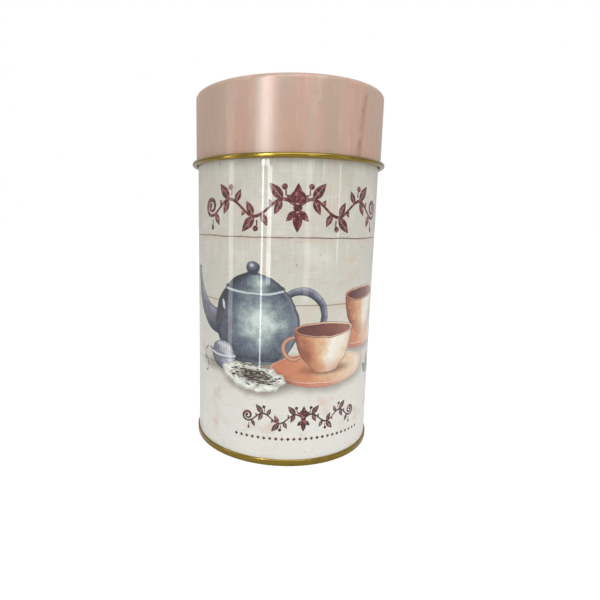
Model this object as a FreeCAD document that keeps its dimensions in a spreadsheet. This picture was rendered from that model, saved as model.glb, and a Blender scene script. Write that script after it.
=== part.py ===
import FreeCAD, Part
import math
import os
import re

import Sketcher

# A round tea caddy of formed tinplate, in millimetres. +Z is up, the origin is the centre of its foot and the
# caddy's front faces -Y. The printed wall is one rolled blank, locked down its back by a folded side seam and
# curled outwards at the mouth. The bottom end is double seamed to it. A plug lid with a riveted knob drops
# into the mouth, and a deep slip lid with a curled hem goes over everything.
#
# Every piece of sheet is drawn as a path of straight runs and quarter bends, on a sketch of radius against
# height, and turned about Z. One face of the sheet is "near", on the right-hand side of the way the path
# goes, and the other is "far", one gauge to its left.

SIZES = [
    # the printed wall
    ("overall_height", 142.0, "floor to the top of the slip lid"),
    ("body_radius", 37.0, "outside of the printed wall"),
    ("body_sheet", 0.25, "gauge of the wall's tinplate"),
    ("mouth_bend", 0.2, "inside radius of the outward curl round the mouth"),
    ("fold_width", 4.5, "width of the folded side seam"),
    ("fold_low", 7.0, "height where the side seam's fold starts"),
    ("fold_below_mouth", 21.0, "distance from the mouth down to where the fold stops"),
    ("fold_layers", 3.0, "layers of sheet that the fold adds inside the wall"),
    ("groove_width", 0.36, "width of the vee that the side seam shows outside"),
    ("groove_depth", 0.12, "depth of that vee"),
    # the double seam and the bottom end
    ("end_sheet", 0.28, "gauge of the bottom end"),
    ("seam_height", 2.6, "height of the double seam"),
    ("seam_gap", 0.03, "play between layers of the double seam"),
    ("seam_bend", 0.3, "inside radius at the seam's foot"),
    ("body_hook", 1.1, "straight length of the wall's hook in the seam"),
    ("end_hook", 1.2, "straight length of the end's hook in the seam"),
    ("compound_height", 0.12, "thickness of the sealing compound under the wall's hook"),
    ("compound_width", 0.24, "radial width of the sealing compound"),
    ("panel_height", 3.2, "floor to the underside of the bottom's centre panel"),
    ("countersink_bend", 0.45, "inside radius of the groove round the bottom's panel"),
    ("countersink_rise", 0.35, "straight length of the groove's inner side"),
    ("bottom_step_radius", 26.0, "radius of the step pressed in the bottom's panel"),
    ("bottom_step_bend", 0.4, "inside radius of both bends of that step"),
    # the plug lid
    ("plug_sheet", 0.25, "gauge of the plug lid"),
    ("plug_clearance", 0.1, "play between the plug and the wall"),
    ("plug_depth", 16.0, "depth of the plug lid's dish"),
    ("plug_bend", 1.2, "inside radius round the bottom of the dish"),
    ("flange_bend", 0.4, "inside radius where the plug turns out over the mouth"),
    ("flange_edge_gap", 0.2, "play between the flange's edge and the slip lid's skirt"),
    ("hem_bend", 0.05, "inside radius of the flange's flat hem"),
    ("hem_run", 0.5, "length of sheet folded back in that hem"),
    ("boss_radius", 8.5, "radius of the flat boss under the knob"),
    ("step_bend", 0.5, "inside radius of the boss's and the ring's bends"),
    ("ring_inner", 20.0, "inner radius of the raised stiffening ring"),
    ("ring_outer", 27.0, "outer radius of the raised stiffening ring"),
    # the slip lid
    ("lid_sheet", 0.25, "gauge of the slip lid"),
    ("lid_depth", 27.9, "top of the slip lid to the bottom of its curl"),
    ("lid_edge_bend", 1.75, "inside radius of the slip lid's top edge"),
    ("slip_clearance", 0.1, "play between the slip lid and the mouth's curl"),
    ("lid_curl_bend", 0.7, "inside radius of the curled hem"),
    ("lid_curl_tip_bend", 0.38, "inside radius of the curl's last quarter"),
    ("seat_gap", 0.05, "play under a lid that is home"),
    # the knob and what holds it
    ("knob_ball_radius", 4.6, "radius of the knob's ball"),
    ("knob_neck_radius", 2.5, "radius of the knob's neck"),
    ("knob_neck_length", 0.6, "straight length of the knob's neck"),
    ("knob_foot_radius", 4.3, "radius of the knob's foot"),
    ("knob_foot_height", 1.1, "thickness of the knob's foot"),
    ("knob_foot_round", 0.4, "radius of the foot's upper edge"),
    ("knob_cove", 0.8, "radius of the cove between foot and neck"),
    ("rivet_radius", 1.5, "radius of the rivet's shank"),
    ("rivet_fit", 0.02, "play between the shank and the knob's bore"),
    ("rivet_end_gap", 0.3, "room above the shank in the knob's bore"),
    ("rivet_head_radius", 3.2, "radius of the rivet's head"),
    ("rivet_head_height", 1.0, "thickness of the rivet's head"),
    ("rivet_head_round", 0.6, "radius of the rivet head's edge"),
    ("hole_clearance", 0.05, "play of the shank in the plug lid and the washer"),
    ("washer_radius", 4.6, "outer radius of the washer"),
    ("washer_height", 0.5, "thickness of the washer"),
    ("washer_bevel", 0.12, "bevel on the washer's rims"),
]

# Places that more than one piece depends on, written in the names above.
BODY_INNER = "(body_radius - body_sheet)"
BODY_HOOK_BEND = "(end_sheet / 2 + seam_gap)"
END_HOOK_BEND = "(body_sheet / 2 + seam_gap)"
HOOK_CENTRE_Z = f"(end_sheet + compound_height + body_sheet + {BODY_HOOK_BEND})"
LID_INNER = "(body_radius + 2 * mouth_bend + body_sheet + slip_clearance)"
PLUG_RADIUS = f"({BODY_INNER} - plug_clearance)"

# The slip lid comes to rest with its rounded edge on the round hem of the plug lid's flange.
HEM_OUTER = "(hem_bend + plug_sheet)"
HEM_CENTRE = f"({LID_INNER} - flange_edge_gap - {HEM_OUTER})"
LID_EDGE_Z = "(overall_height - lid_sheet - lid_edge_bend)"
HEM_REACH = f"(lid_edge_bend - {HEM_OUTER} - seat_gap)"
HEM_ASIDE = f"({HEM_CENTRE} - {LID_INNER} + lid_edge_bend)"
HEM_CENTRE_Z = f"({LID_EDGE_Z} + sqrt({HEM_REACH}^2 - {HEM_ASIDE}^2))"
FLANGE_Z = f"({HEM_CENTRE_Z} - {HEM_OUTER})"
MOUTH_Z = f"({FLANGE_Z} - seat_gap)"

STEP_RISE = "(2 * step_bend + plug_sheet)"
BOTTOM_STEP_RISE = "(2 * bottom_step_bend + end_sheet)"
BOSS_Z = f"({FLANGE_Z} - plug_depth + {STEP_RISE})"
BALL_FOOT = "(knob_foot_height + knob_cove + knob_neck_length)"
BALL_CENTRE = f"({BALL_FOOT} + sqrt(knob_ball_radius^2 - knob_neck_radius^2))"

OUT, UP, IN, DOWN = (1, 0), (0, 1), (-1, 0), (0, -1)
START, END, CENTRE = 1, 2, 3
ORIGIN, X_AXIS, Y_AXIS = -1, -1, -2


def linked(text):
    """An expression in the sheet's names, as the document's objects read it."""
    return re.sub(r"\b(?!sqrt\b)[a-z][a-z_]+\b", r"Sizes.\g<0>", text)


class Drawing:
    """A sketch of one body whose dimensions are bound to the sheet."""

    def __init__(self, body, name, plane="XZ_Plane", height=None):
        self.sketch = body.newObject("Sketcher::SketchObject", name)
        planes = {feature.Role: feature for feature in body.Origin.OriginFeatures}
        self.sketch.AttachmentSupport = [(planes[plane], "")]
        self.sketch.MapMode = "FlatFace"
        if height:
            self.sketch.setExpression("AttachmentOffset.Base.z", linked(height))

    def value(self, text):
        return float(self.sketch.evalExpression(linked(text)))

    def add(self, kind, *places, size=None):
        """Adds a constraint, and binds its size to the sheet if it has one."""
        if size is None:
            self.sketch.addConstraint(Sketcher.Constraint(kind, *places))
            return
        made = Sketcher.Constraint(kind, *places, self.value(size))
        index = self.sketch.addConstraint(made)
        self.sketch.setExpression(f"Constraints[{index}]", linked(size))

    def line(self, a, b):
        first, last = FreeCAD.Vector(*a, 0), FreeCAD.Vector(*b, 0)
        return self.sketch.addGeometry(Part.LineSegment(first, last))

    def arc(self, centre, a, b, anticlockwise):
        """An arc from a to b round centre: its index, and which of its ends a and b are."""
        from_a = math.atan2(a[1] - centre[1], a[0] - centre[0])
        from_b = math.atan2(b[1] - centre[1], b[0] - centre[0])
        first, last = (from_a, from_b) if anticlockwise else (from_b, from_a)
        if last <= first + 1e-9:
            last += 2 * math.pi
        circle = Part.Circle(FreeCAD.Vector(*centre, 0), FreeCAD.Vector(0, 0, 1), math.dist(centre, a))
        index = self.sketch.addGeometry(Part.ArcOfCircle(circle, first, last))
        return (index, START, END) if anticlockwise else (index, END, START)

    def fix(self, point, across, up):
        """Places a point at (across, up), each bound to the sheet, and 0 on an axis."""
        for kind, axis, size in (("DistanceX", Y_AXIS, across), ("DistanceY", X_AXIS, up)):
            if size == "0":
                self.add("PointOnObject", *point, axis)
            else:
                self.add(kind, ORIGIN, START, *point, size=size)


class SheetPath(Drawing):
    """The section of one formed sheet, drawn as the path of its near face."""

    def start(self, radius, height, heading, gauge):
        self.heading, self.gauge = heading, gauge
        self.here = (self.value(radius), self.value(height))
        self.thick = self.value(gauge)
        self.cap = self.line(self.here, self.across(self.here))
        self.fix((self.cap, START), radius, height)
        self.add("Vertical" if heading[0] else "Horizontal", self.cap)
        self.add("Distance", self.cap, size=gauge)
        self.near, self.far = (self.cap, START), (self.cap, END)
        self.far_is_line = False
        return self

    def across(self, point):
        """The far face's point across the sheet from this one."""
        return point[0] - self.heading[1] * self.thick, point[1] + self.heading[0] * self.thick

    def align(self, kind_when_level, *places):
        """Lines points up along the heading, or across it."""
        level = self.heading[0] != 0
        along = "Horizontal" if level else "Vertical"
        athwart = "Vertical" if level else "Horizontal"
        self.add(along if kind_when_level == "along" else athwart, *places)

    def straight(self, end):
        near = self.line(self.here, end)
        far = self.line(self.across(self.here), self.across(end))
        for line, before in ((near, self.near), (far, self.far)):
            self.add("Coincident", *before, line, START)
            self.align("along", line)
        self.here = end
        self.near, self.far = (near, END), (far, END)
        self.far_is_line = True

    def run(self, length):
        """Goes straight on for a length."""
        size = self.value(length)
        self.straight((self.here[0] + self.heading[0] * size, self.here[1] + self.heading[1] * size))
        self.add("Distance", self.near[0], size=length)
        return self

    def run_to(self, place):
        """Goes straight on to a radius or a height."""
        level, at = self.heading[0] != 0, self.value(place)
        self.straight((at, self.here[1]) if level else (self.here[0], at))
        self.add("DistanceX" if level else "DistanceY", ORIGIN, START, *self.near, size=place)
        return self

    def bend(self, side, inside, quarters=1):
        """Turns left or right by quarter turns, round an inside radius."""
        left = side == "left"
        near_size = f"({inside} + {self.gauge})" if left else inside
        reach = self.value(near_size) * (1 if left else -1)
        centre = (self.here[0] - self.heading[1] * reach, self.here[1] + self.heading[0] * reach)
        before = self.heading
        near_from, far_from = self.here, self.across(self.here)
        near_to, far_to = near_from, far_from
        for _ in range(quarters):
            near_to, far_to = (self.quarter(centre, point, left) for point in (near_to, far_to))
            turn = 1 if left else -1
            self.heading = (-self.heading[1] * turn, self.heading[0] * turn)
        after, self.heading = self.heading, before
        near, near_start, near_end = self.arc(centre, near_from, near_to, left)
        far, far_start, far_end = self.arc(centre, far_from, far_to, left)
        self.add("Coincident", *self.near, near, near_start)
        self.align("athwart", near, near_start, near, CENTRE)
        self.add("Radius", near, size=near_size)
        self.add("Coincident", near, CENTRE, far, CENTRE)
        self.add("Coincident", *self.far, far, far_start)
        if self.far_is_line:
            self.align("athwart", far, far_start, far, CENTRE)
        self.heading = after
        self.align("athwart", near, CENTRE, near, near_end)
        self.align("athwart", far, CENTRE, far, far_end)
        self.here = near_to
        self.near, self.far = (near, near_end), (far, far_end)
        self.far_is_line = False
        return self

    @staticmethod
    def quarter(centre, point, left):
        """A point turned a quarter round a centre."""
        x, y = point[0] - centre[0], point[1] - centre[1]
        return (centre[0] - y, centre[1] + x) if left else (centre[0] + y, centre[1] - x)

    def close(self):
        """Closes the section across the sheet's other edge."""
        cap = self.line(self.here, self.across(self.here))
        self.add("Coincident", *self.near, cap, START)
        self.add("Coincident", *self.far, cap, END)
        if self.far_is_line:
            self.align("athwart", cap)
        return self.sketch


class TurnedOutline(Drawing):
    """A closed outline whose every corner is placed from the sheet."""

    def trace(self, corners):
        """Each corner is (across, up), with an arc's radius and "left" or "right" if an arc leads to it."""
        points = [(self.value(corner[0]), self.value(corner[1])) for corner in corners]
        ends = []
        for number, corner in enumerate(corners):
            a, b = points[number - 1], points[number]
            if len(corner) == 2:
                ends.append((self.line(a, b), START, END))
                continue
            size, left = corner[2], corner[3] == "left"
            ends.append(self.arc(self.arc_centre(a, b, self.value(size), left), a, b, left))
            self.add("Radius", ends[-1][0], size=size)
        for number, corner in enumerate(corners):
            index, _, end = ends[number]
            following, start, _ = ends[(number + 1) % len(ends)]
            self.add("Coincident", index, end, following, start)
            self.fix((index, end), corner[0], corner[1])
        return self.sketch

    @staticmethod
    def arc_centre(a, b, radius, left):
        """The centre of the shorter arc from a to b that bears left or right."""
        middle = ((a[0] + b[0]) / 2, (a[1] + b[1]) / 2)
        chord = math.dist(a, b)
        rise = math.sqrt(max(radius**2 - chord**2 / 4, 0)) * (1 if left else -1)
        return middle[0] - (b[1] - a[1]) / chord * rise, middle[1] + (b[0] - a[0]) / chord * rise


def new_body(doc, label):
    body = doc.addObject("PartDesign::Body", label)
    body.Label = label
    return body


def turn_about_z(body, sketch):
    turned = body.newObject("PartDesign::Revolution", f"{body.Label}_turn")
    turned.Profile = sketch
    turned.ReferenceAxis = (sketch, ["V_Axis"])
    turned.Angle = 360
    sketch.Visibility = False
    return turned


def fill_sheet(doc):
    """The spreadsheet that holds the driving dimensions, one aliased row each."""
    sheet = doc.addObject("Spreadsheet::Sheet", "Sizes")
    for row, (name, value, meaning) in enumerate(SIZES, start=1):
        sheet.set(f"A{row}", name)
        sheet.set(f"B{row}", str(value))
        sheet.setAlias(f"B{row}", name)
        sheet.set(f"C{row}", meaning)
    doc.recompute()
    return sheet


def make_body_wall(doc):
    """The printed wall: hooked into the double seam below, and up to where its mouth curls."""
    body = new_body(doc, "body_wall")
    path = SheetPath(body, "body_wall_section")
    path.start(f"body_radius + 2 * {BODY_HOOK_BEND}", f"{HOOK_CENTRE_Z} + body_hook", DOWN, "body_sheet")
    path.run("body_hook").bend("right", BODY_HOOK_BEND, 2)
    path.run_to(f"{MOUTH_Z} - mouth_bend - body_sheet")
    turn_about_z(body, path.close())

    fold_top = f"({MOUTH_Z} - fold_below_mouth)"
    middle_of_wall = "(body_radius - body_sheet / 2)"
    fold_face = f"({BODY_INNER} - fold_layers * body_sheet)"
    fold = TurnedOutline(body, "side_seam_fold", "XY_Plane", "fold_low")
    fold_sketch = fold.trace(
        [
            ("-fold_width / 2", fold_face),
            ("fold_width / 2", fold_face),
            ("fold_width / 2", middle_of_wall),
            ("-fold_width / 2", middle_of_wall),
        ]
    )
    pad = body.newObject("PartDesign::Pad", "side_seam_pad")
    pad.Profile = fold_sketch
    pad.setExpression("Length", linked(f"{fold_top} - fold_low"))

    groove_side = "(fold_width / 2 - groove_width)"
    groove_mouth = "(body_radius + groove_depth)"
    groove = TurnedOutline(body, "side_seam_groove", "XY_Plane", "fold_low")
    groove_sketch = groove.trace(
        [
            (f"{groove_side} - groove_width", groove_mouth),
            (groove_side, "body_radius - groove_depth"),
            (f"{groove_side} + groove_width", groove_mouth),
        ]
    )
    pocket = body.newObject("PartDesign::Pocket", "side_seam_line")
    pocket.Profile = groove_sketch
    pocket.Reversed = True
    pocket.setExpression("Length", linked(f"{fold_top} - fold_low"))
    return body


def make_mouth_curl(doc):
    """The wall's top edge, curled outwards round the mouth."""
    body = new_body(doc, "mouth_curl")
    path = SheetPath(body, "mouth_curl_section")
    path.start("body_radius", f"{MOUTH_Z} - mouth_bend - body_sheet", UP, "body_sheet")
    path.bend("right", "mouth_bend", 3)
    turn_about_z(body, path.close())
    return body


def make_bottom_end(doc):
    """The bottom: a stepped panel, a countersink, the chuck wall, and the seam rolled round the hook."""
    body = new_body(doc, "bottom_end")
    chuck_wall = f"({BODY_INNER} - seam_gap - end_sheet)"
    seam_far = f"(body_radius + 2 * {BODY_HOOK_BEND} + body_sheet + seam_gap)"
    step_z = f"(panel_height + {BOTTOM_STEP_RISE})"
    groove_side = "(2 * countersink_bend)"
    path = SheetPath(body, "bottom_end_section")
    path.start("0", step_z, OUT, "end_sheet")
    path.run_to("bottom_step_radius")
    path.bend("right", "bottom_step_bend").bend("left", "bottom_step_bend")
    path.run_to(f"{chuck_wall} - {groove_side} - countersink_bend - end_sheet")
    path.bend("left", "countersink_bend").run("countersink_rise").bend("right", "countersink_bend", 2)
    path.run_to("seam_bend + end_sheet").bend("left", "seam_bend")
    path.run_to(f"{seam_far} - seam_bend").bend("left", "seam_bend")
    path.run_to(f"seam_height - {END_HOOK_BEND} - end_sheet")
    path.bend("left", END_HOOK_BEND, 2).run("end_hook")
    turn_about_z(body, path.close())
    return body


def make_seam_compound(doc):
    """The ring of sealing compound that the wall's hook is pressed into."""
    body = new_body(doc, "bottom_seam_compound")
    middle = f"(body_radius + {BODY_HOOK_BEND})"
    ring = TurnedOutline(body, "compound_section")
    inner, outer = f"{middle} - compound_width / 2", f"{middle} + compound_width / 2"
    top = "end_sheet + compound_height"
    sketch = ring.trace([(inner, "end_sheet"), (outer, "end_sheet"), (outer, top), (inner, top)])
    turn_about_z(body, sketch)
    return body


def make_plug_lid(doc):
    """The inner lid: a dish with a boss and a stiffening ring, and a hemmed flange that sits on the mouth."""
    body = new_body(doc, "plug_lid_dish")
    path = SheetPath(body, "plug_lid_section")
    path.start("rivet_radius + hole_clearance", BOSS_Z, OUT, "plug_sheet")
    path.run_to("boss_radius").bend("right", "step_bend").bend("left", "step_bend")
    path.run_to("ring_inner").bend("left", "step_bend").bend("right", "step_bend")
    path.run_to("ring_outer").bend("right", "step_bend").bend("left", "step_bend")
    path.run_to(f"{PLUG_RADIUS} - plug_bend - plug_sheet").bend("left", "plug_bend")
    path.run_to(f"{FLANGE_Z} - flange_bend").bend("right", "flange_bend").run_to(HEM_CENTRE)
    path.bend("left", "hem_bend", 2).run("hem_run")
    turn_about_z(body, path.close())
    return body


def make_knob(doc):
    """The plug lid's turned knob: a foot, a coved neck and a ball, bored from below for its rivet."""
    body = new_body(doc, "plug_lid_knob")
    outline = TurnedOutline(body, "knob_section")
    bore = "rivet_radius + rivet_fit"
    sketch = outline.trace(
        [
            (bore, "0"),
            ("knob_foot_radius", "0"),
            ("knob_foot_radius", "knob_foot_height - knob_foot_round"),
            ("knob_foot_radius - knob_foot_round", "knob_foot_height", "knob_foot_round", "left"),
            ("knob_neck_radius + knob_cove", "knob_foot_height"),
            ("knob_neck_radius", "knob_foot_height + knob_cove", "knob_cove", "right"),
            ("knob_neck_radius", BALL_FOOT),
            ("knob_ball_radius", BALL_CENTRE, "knob_ball_radius", "left"),
            ("0", f"{BALL_CENTRE} + knob_ball_radius", "knob_ball_radius", "left"),
            ("0", BALL_CENTRE),
            (bore, BALL_CENTRE),
        ]
    )
    turn_about_z(body, sketch)
    body.setExpression("Placement.Base.z", linked(f"{BOSS_Z} + plug_sheet"))
    return body


def make_washer(doc):
    """The washer that spreads the rivet's pull under the plug lid."""
    body = new_body(doc, "knob_washer")
    inner, outer = "(rivet_radius + hole_clearance)", "washer_radius"
    outline = TurnedOutline(body, "washer_section")
    sketch = outline.trace(
        [
            (inner, "0"),
            (f"{outer} - washer_bevel", "0"),
            (outer, "washer_bevel"),
            (outer, "washer_height - washer_bevel"),
            (f"{outer} - washer_bevel", "washer_height"),
            (inner, "washer_height"),
        ]
    )
    turn_about_z(body, sketch)
    body.setExpression("Placement.Base.z", linked(f"{BOSS_Z} - washer_height"))
    return body


def make_rivet(doc):
    """The rivet, its head under the washer and its shank pressed up into the knob."""
    body = new_body(doc, "knob_rivet")
    outline = TurnedOutline(body, "rivet_section")
    shank_top = f"(rivet_head_height + washer_height + plug_sheet + {BALL_CENTRE} - rivet_end_gap)"
    sketch = outline.trace(
        [
            ("0", "0"),
            ("rivet_head_radius - rivet_head_round", "0"),
            ("rivet_head_radius", "rivet_head_round", "rivet_head_round", "left"),
            ("rivet_head_radius", "rivet_head_height"),
            ("rivet_radius", "rivet_head_height"),
            ("rivet_radius", shank_top),
            ("0", shank_top),
        ]
    )
    turn_about_z(body, sketch)
    body.setExpression("Placement.Base.z", linked(f"{BOSS_Z} - washer_height - rivet_head_height"))
    return body


def make_slip_lid(doc):
    """The outer lid: a flat drawn top, a rounded edge and a deep skirt."""
    body = new_body(doc, "slip_lid_shell")
    path = SheetPath(body, "slip_lid_section")
    path.start("0", "overall_height - lid_sheet", OUT, "lid_sheet")
    path.run_to(f"{LID_INNER} - lid_edge_bend").bend("right", "lid_edge_bend")
    path.run_to("overall_height - lid_depth + lid_curl_bend + lid_sheet")
    turn_about_z(body, path.close())
    return body


def make_slip_lid_curl(doc):
    """The slip lid's hem, curled outwards until its edge meets the skirt."""
    body = new_body(doc, "slip_lid_curl")
    path = SheetPath(body, "slip_lid_curl_section")
    path.start(LID_INNER, "overall_height - lid_depth + lid_curl_bend + lid_sheet", DOWN, "lid_sheet")
    path.bend("left", "lid_curl_bend", 3).bend("left", "lid_curl_tip_bend")
    turn_about_z(body, path.close())
    return body


MAKERS = [
    make_body_wall,
    make_mouth_curl,
    make_bottom_end,
    make_seam_compound,
    make_plug_lid,
    make_knob,
    make_washer,
    make_rivet,
    make_slip_lid,
    make_slip_lid_curl,
]


def check(doc, bodies):
    """Stops before anything is written if an object failed or a shape is unsound."""
    for thing in doc.Objects:
        if "Invalid" in thing.State or "Error" in thing.State:
            raise RuntimeError(f"{thing.Label} failed to rebuild: {thing.State}")
        if thing.isDerivedFrom("Sketcher::SketchObject") and not thing.FullyConstrained:
            raise RuntimeError(f"{thing.Label} is not fully constrained")
    for body in bodies:
        shape = body.Shape
        if shape.isNull() or not shape.isValid() or not shape.Solids:
            raise RuntimeError(f"{body.Label} is not a sound solid")


def main():
    doc = FreeCAD.newDocument("tea_caddy")
    fill_sheet(doc)
    bodies = [make(doc) for make in MAKERS]
    doc.recompute()
    check(doc, bodies)
    os.makedirs("parts", exist_ok=True)
    for body in bodies:
        body.Shape.exportStep(f"parts/{body.Label}.step")
    return doc


main()
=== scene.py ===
"""A round tinplate tea caddy: a printed wall, a seamed bottom, a knobbed plug lid and a deep slip lid."""

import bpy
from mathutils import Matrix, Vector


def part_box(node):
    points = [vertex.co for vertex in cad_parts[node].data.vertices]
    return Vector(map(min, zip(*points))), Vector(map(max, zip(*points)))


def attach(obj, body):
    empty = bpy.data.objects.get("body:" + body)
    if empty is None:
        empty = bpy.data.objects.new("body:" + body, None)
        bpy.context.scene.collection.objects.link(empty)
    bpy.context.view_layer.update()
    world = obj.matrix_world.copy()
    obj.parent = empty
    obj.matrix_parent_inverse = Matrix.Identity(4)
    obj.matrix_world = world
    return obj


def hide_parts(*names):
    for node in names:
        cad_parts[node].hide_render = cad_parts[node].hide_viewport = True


bl_info = {
    "name": "Tea caddy",
    "version": (1, 0, 0),
    "blender": (4, 5, 0),
    "location": "3D View > Sidebar > Tea Caddy",
    "description": "Builds a round tinplate tea caddy with its printed wall and its two lids",
    "category": "Object",
}

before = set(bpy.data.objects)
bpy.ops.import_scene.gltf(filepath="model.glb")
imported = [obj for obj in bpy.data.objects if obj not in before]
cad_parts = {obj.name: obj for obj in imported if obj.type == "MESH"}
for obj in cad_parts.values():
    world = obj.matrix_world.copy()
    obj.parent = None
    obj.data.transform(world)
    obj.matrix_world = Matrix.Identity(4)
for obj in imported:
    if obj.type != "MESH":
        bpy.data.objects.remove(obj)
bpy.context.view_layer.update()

import math

import bpy
from mathutils import Matrix, Vector

MM = 0.001
TURN_STEPS = 288  # flats round a turned piece
BEND_STEPS = 8  # flats in a quarter bend of sheet
MERGE = 0.0008 * MM
CREASE = math.radians(40)  # edges that bend more than this stay sharp
OUT, UP, DOWN = (1, 0), (0, 1), (0, -1)

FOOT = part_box("bottom_end")
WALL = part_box("body_wall")
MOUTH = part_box("mouth_curl")
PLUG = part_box("plug_lid_dish")
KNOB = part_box("plug_lid_knob")
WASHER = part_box("knob_washer")
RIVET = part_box("knob_rivet")
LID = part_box("slip_lid_shell")
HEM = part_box("slip_lid_curl")


# ---------------------------------------------------------------- sizes and colours


def length(name, description, default):
    return bpy.props.FloatProperty(
        name=name, description=description, default=default, unit="LENGTH", precision=5
    )


def amount(name, description, default):
    return bpy.props.FloatProperty(name=name, description=description, default=default)


def paint(name, description, red, green, blue):
    """A colour property, given as the eight-bit values of a colour card."""
    return bpy.props.FloatVectorProperty(
        name=name, description=description, size=3, subtype="COLOR", default=card(red, green, blue)
    )


def card(red, green, blue):
    """A colour card's eight-bit values as the linear light that shaders take."""
    shares = [value / 255 for value in (red, green, blue)]
    return tuple(((s + 0.055) / 1.055) ** 2.4 if s > 0.0404 else s / 12.92 for s in shares)


class CaddySizes(bpy.types.PropertyGroup):
    wall_radius: length("Wall radius", "Outside of the printed wall", 37.0 * MM)
    wall_sheet: length("Wall sheet", "Gauge of the wall and both lids", 0.25 * MM)
    mouth_bend: length("Mouth bend", "Inside radius of the curl round the mouth", 0.2 * MM)
    end_sheet: length("End sheet", "Gauge of the bottom end", 0.28 * MM)
    seam_gap: length("Seam gap", "Play between the layers of the double seam", 0.03 * MM)
    seam_bend: length("Seam bend", "Inside radius at the foot of the double seam", 0.3 * MM)
    body_hook: length("Body hook", "Straight part of the wall's hook in the seam", 1.1 * MM)
    end_hook: length("End hook", "Straight part of the end's hook in the seam", 1.2 * MM)
    seam_height: length("Seam height", "Height of the double seam", 2.6 * MM)
    panel_height: length("Panel height", "Floor to the underside of the bottom's panel", 3.2 * MM)
    panel_step: length("Panel step", "Radius of the step in the bottom's panel", 26.0 * MM)
    fold_width: length("Fold width", "Width of the folded side seam", 4.5 * MM)
    fold_low: length("Fold start", "Height where the side seam's fold starts", 7.0 * MM)
    fold_high: length("Fold end", "Height where the side seam's fold stops", MOUTH[1].z - 21.0 * MM)
    groove_width: length("Groove width", "Half the mouth of the side seam's groove", 0.36 * MM)
    groove_depth: length("Groove depth", "Depth of the side seam's groove", 0.12 * MM)
    plug_bend: length("Plug bend", "Inside radius round the bottom of the plug lid", 1.2 * MM)
    flange_bend: length("Flange bend", "Inside radius where the plug lid turns out", 0.4 * MM)
    boss_radius: length("Boss radius", "Radius of the flat boss under the knob", 8.5 * MM)
    ring_inner: length("Ring inside", "Inner radius of the plug lid's raised ring", 20.0 * MM)
    ring_outer: length("Ring outside", "Outer radius of the plug lid's raised ring", 27.0 * MM)
    step_bend: length("Step bend", "Inside radius of the plug lid's pressed steps", 0.5 * MM)
    lid_edge_bend: length("Lid edge bend", "Inside radius of the slip lid's top edge", 1.75 * MM)
    lid_curl_bend: length("Lid curl bend", "Inside radius of the slip lid's hem", 0.7 * MM)


class CaddyColours(bpy.types.PropertyGroup):
    board: paint("Boards", "The printed whitewashed boards", 213, 210, 196)
    board_low: paint("Table", "The printed table top, low on the wall", 238, 236, 228)
    board_line: paint("Board joints", "The lines where printed boards meet", 104, 80, 72)
    maroon: paint("Maroon ink", "The ink of the upper scrollwork", 92, 30, 34)
    umber: paint("Umber ink", "The ink of the lower scrollwork", 66, 28, 32)
    pewter: paint("Pot", "The glaze of the painted teapot", 116, 128, 138)
    clay: paint("Clay", "The painted cups' terracotta", 208, 142, 104)
    lid: paint("Lid enamel", "The slip lid's dusty pink enamel", 201, 163, 144)
    lid_streak: paint("Lid streak", "The tan streaks in the lid's enamel", 188, 163, 143)
    # This gold is partly the lacquer's own olive gold and partly painted shade: it is made darker so that
    # curls and rims look as dark as gold that reflects a dim room.
    gold: paint("Gold lacquer", "The lacquer on hems, curls and the bottom", 140, 117, 42)
    # The inside is the same gold lacquer as the outside, given a lighter colour: painted light, so that the
    # deep inside does not look dark.
    inside: paint("Inside lacquer", "The lacquer inside the can and the slip lid", 196, 160, 92)
    tin: paint("Tinplate", "Bare tinned steel", 205, 205, 200)
    brass: paint("Brass", "The plug lid's knob", 214, 170, 96)
    steel: paint("Rivet steel", "The rivet under the plug lid", 168, 168, 165)


class CaddyStage(bpy.types.PropertyGroup):
    room: amount("Room light", "Strength of the even light", 0.56)
    key: amount("Overhead light", "Power of the overhead softbox", 3.3)
    strip: amount("Strip lights", "Power of a tall strip light as large as the usual one", 0.42)


# ---------------------------------------------------------------- forming the sheet


def left_of(along):
    return Vector((-along.y, along.x))


def turned_by(vector, angle):
    cos, sin = math.cos(angle), math.sin(angle)
    return Vector((vector.x * cos - vector.y * sin, vector.x * sin + vector.y * cos))


def formed(start, heading, gauge, moves):
    """The outline of a bent sheet, as (radius, height) points, from the path that its near face takes.

    The near face is on the right-hand side of the way it goes. A move is ("to", place), ("by", length),
    or ("left" or "right", inside radius, quarters).
    """
    here, along = Vector(start), Vector(heading)
    near, far = [here], [here + left_of(along) * gauge]
    for kind, size, *quarters in moves:
        if kind == "to":
            here = Vector((size, here.y)) if abs(along.x) > 0.5 else Vector((here.x, size))
        elif kind == "by":
            here = here + along * size
        if kind in ("to", "by"):
            near.append(here)
            far.append(here + left_of(along) * gauge)
            continue
        side = 1 if kind == "left" else -1
        centre = here + left_of(along) * side * (size + gauge if side > 0 else size)
        near_arm, far_arm = near[-1] - centre, far[-1] - centre
        steps = BEND_STEPS * (quarters[0] if quarters else 1)
        for step in range(1, steps + 1):
            angle = side * step * math.pi / 2 / BEND_STEPS
            near.append(centre + turned_by(near_arm, angle))
            far.append(centre + turned_by(far_arm, angle))
        here = near[-1]
        along = turned_by(along, side * steps * math.pi / 2 / BEND_STEPS)
    return near + far[::-1]


def arc(centre, radius, first, last, steps):
    """Points of an arc from first to last, in degrees."""
    angles = [math.radians(first + (last - first) * step / steps) for step in range(steps + 1)]
    return [Vector((centre[0] + radius * math.cos(a), centre[1] + radius * math.sin(a))) for a in angles]


def choose_nothing():
    bpy.ops.object.select_all(action="DESELECT")


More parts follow.
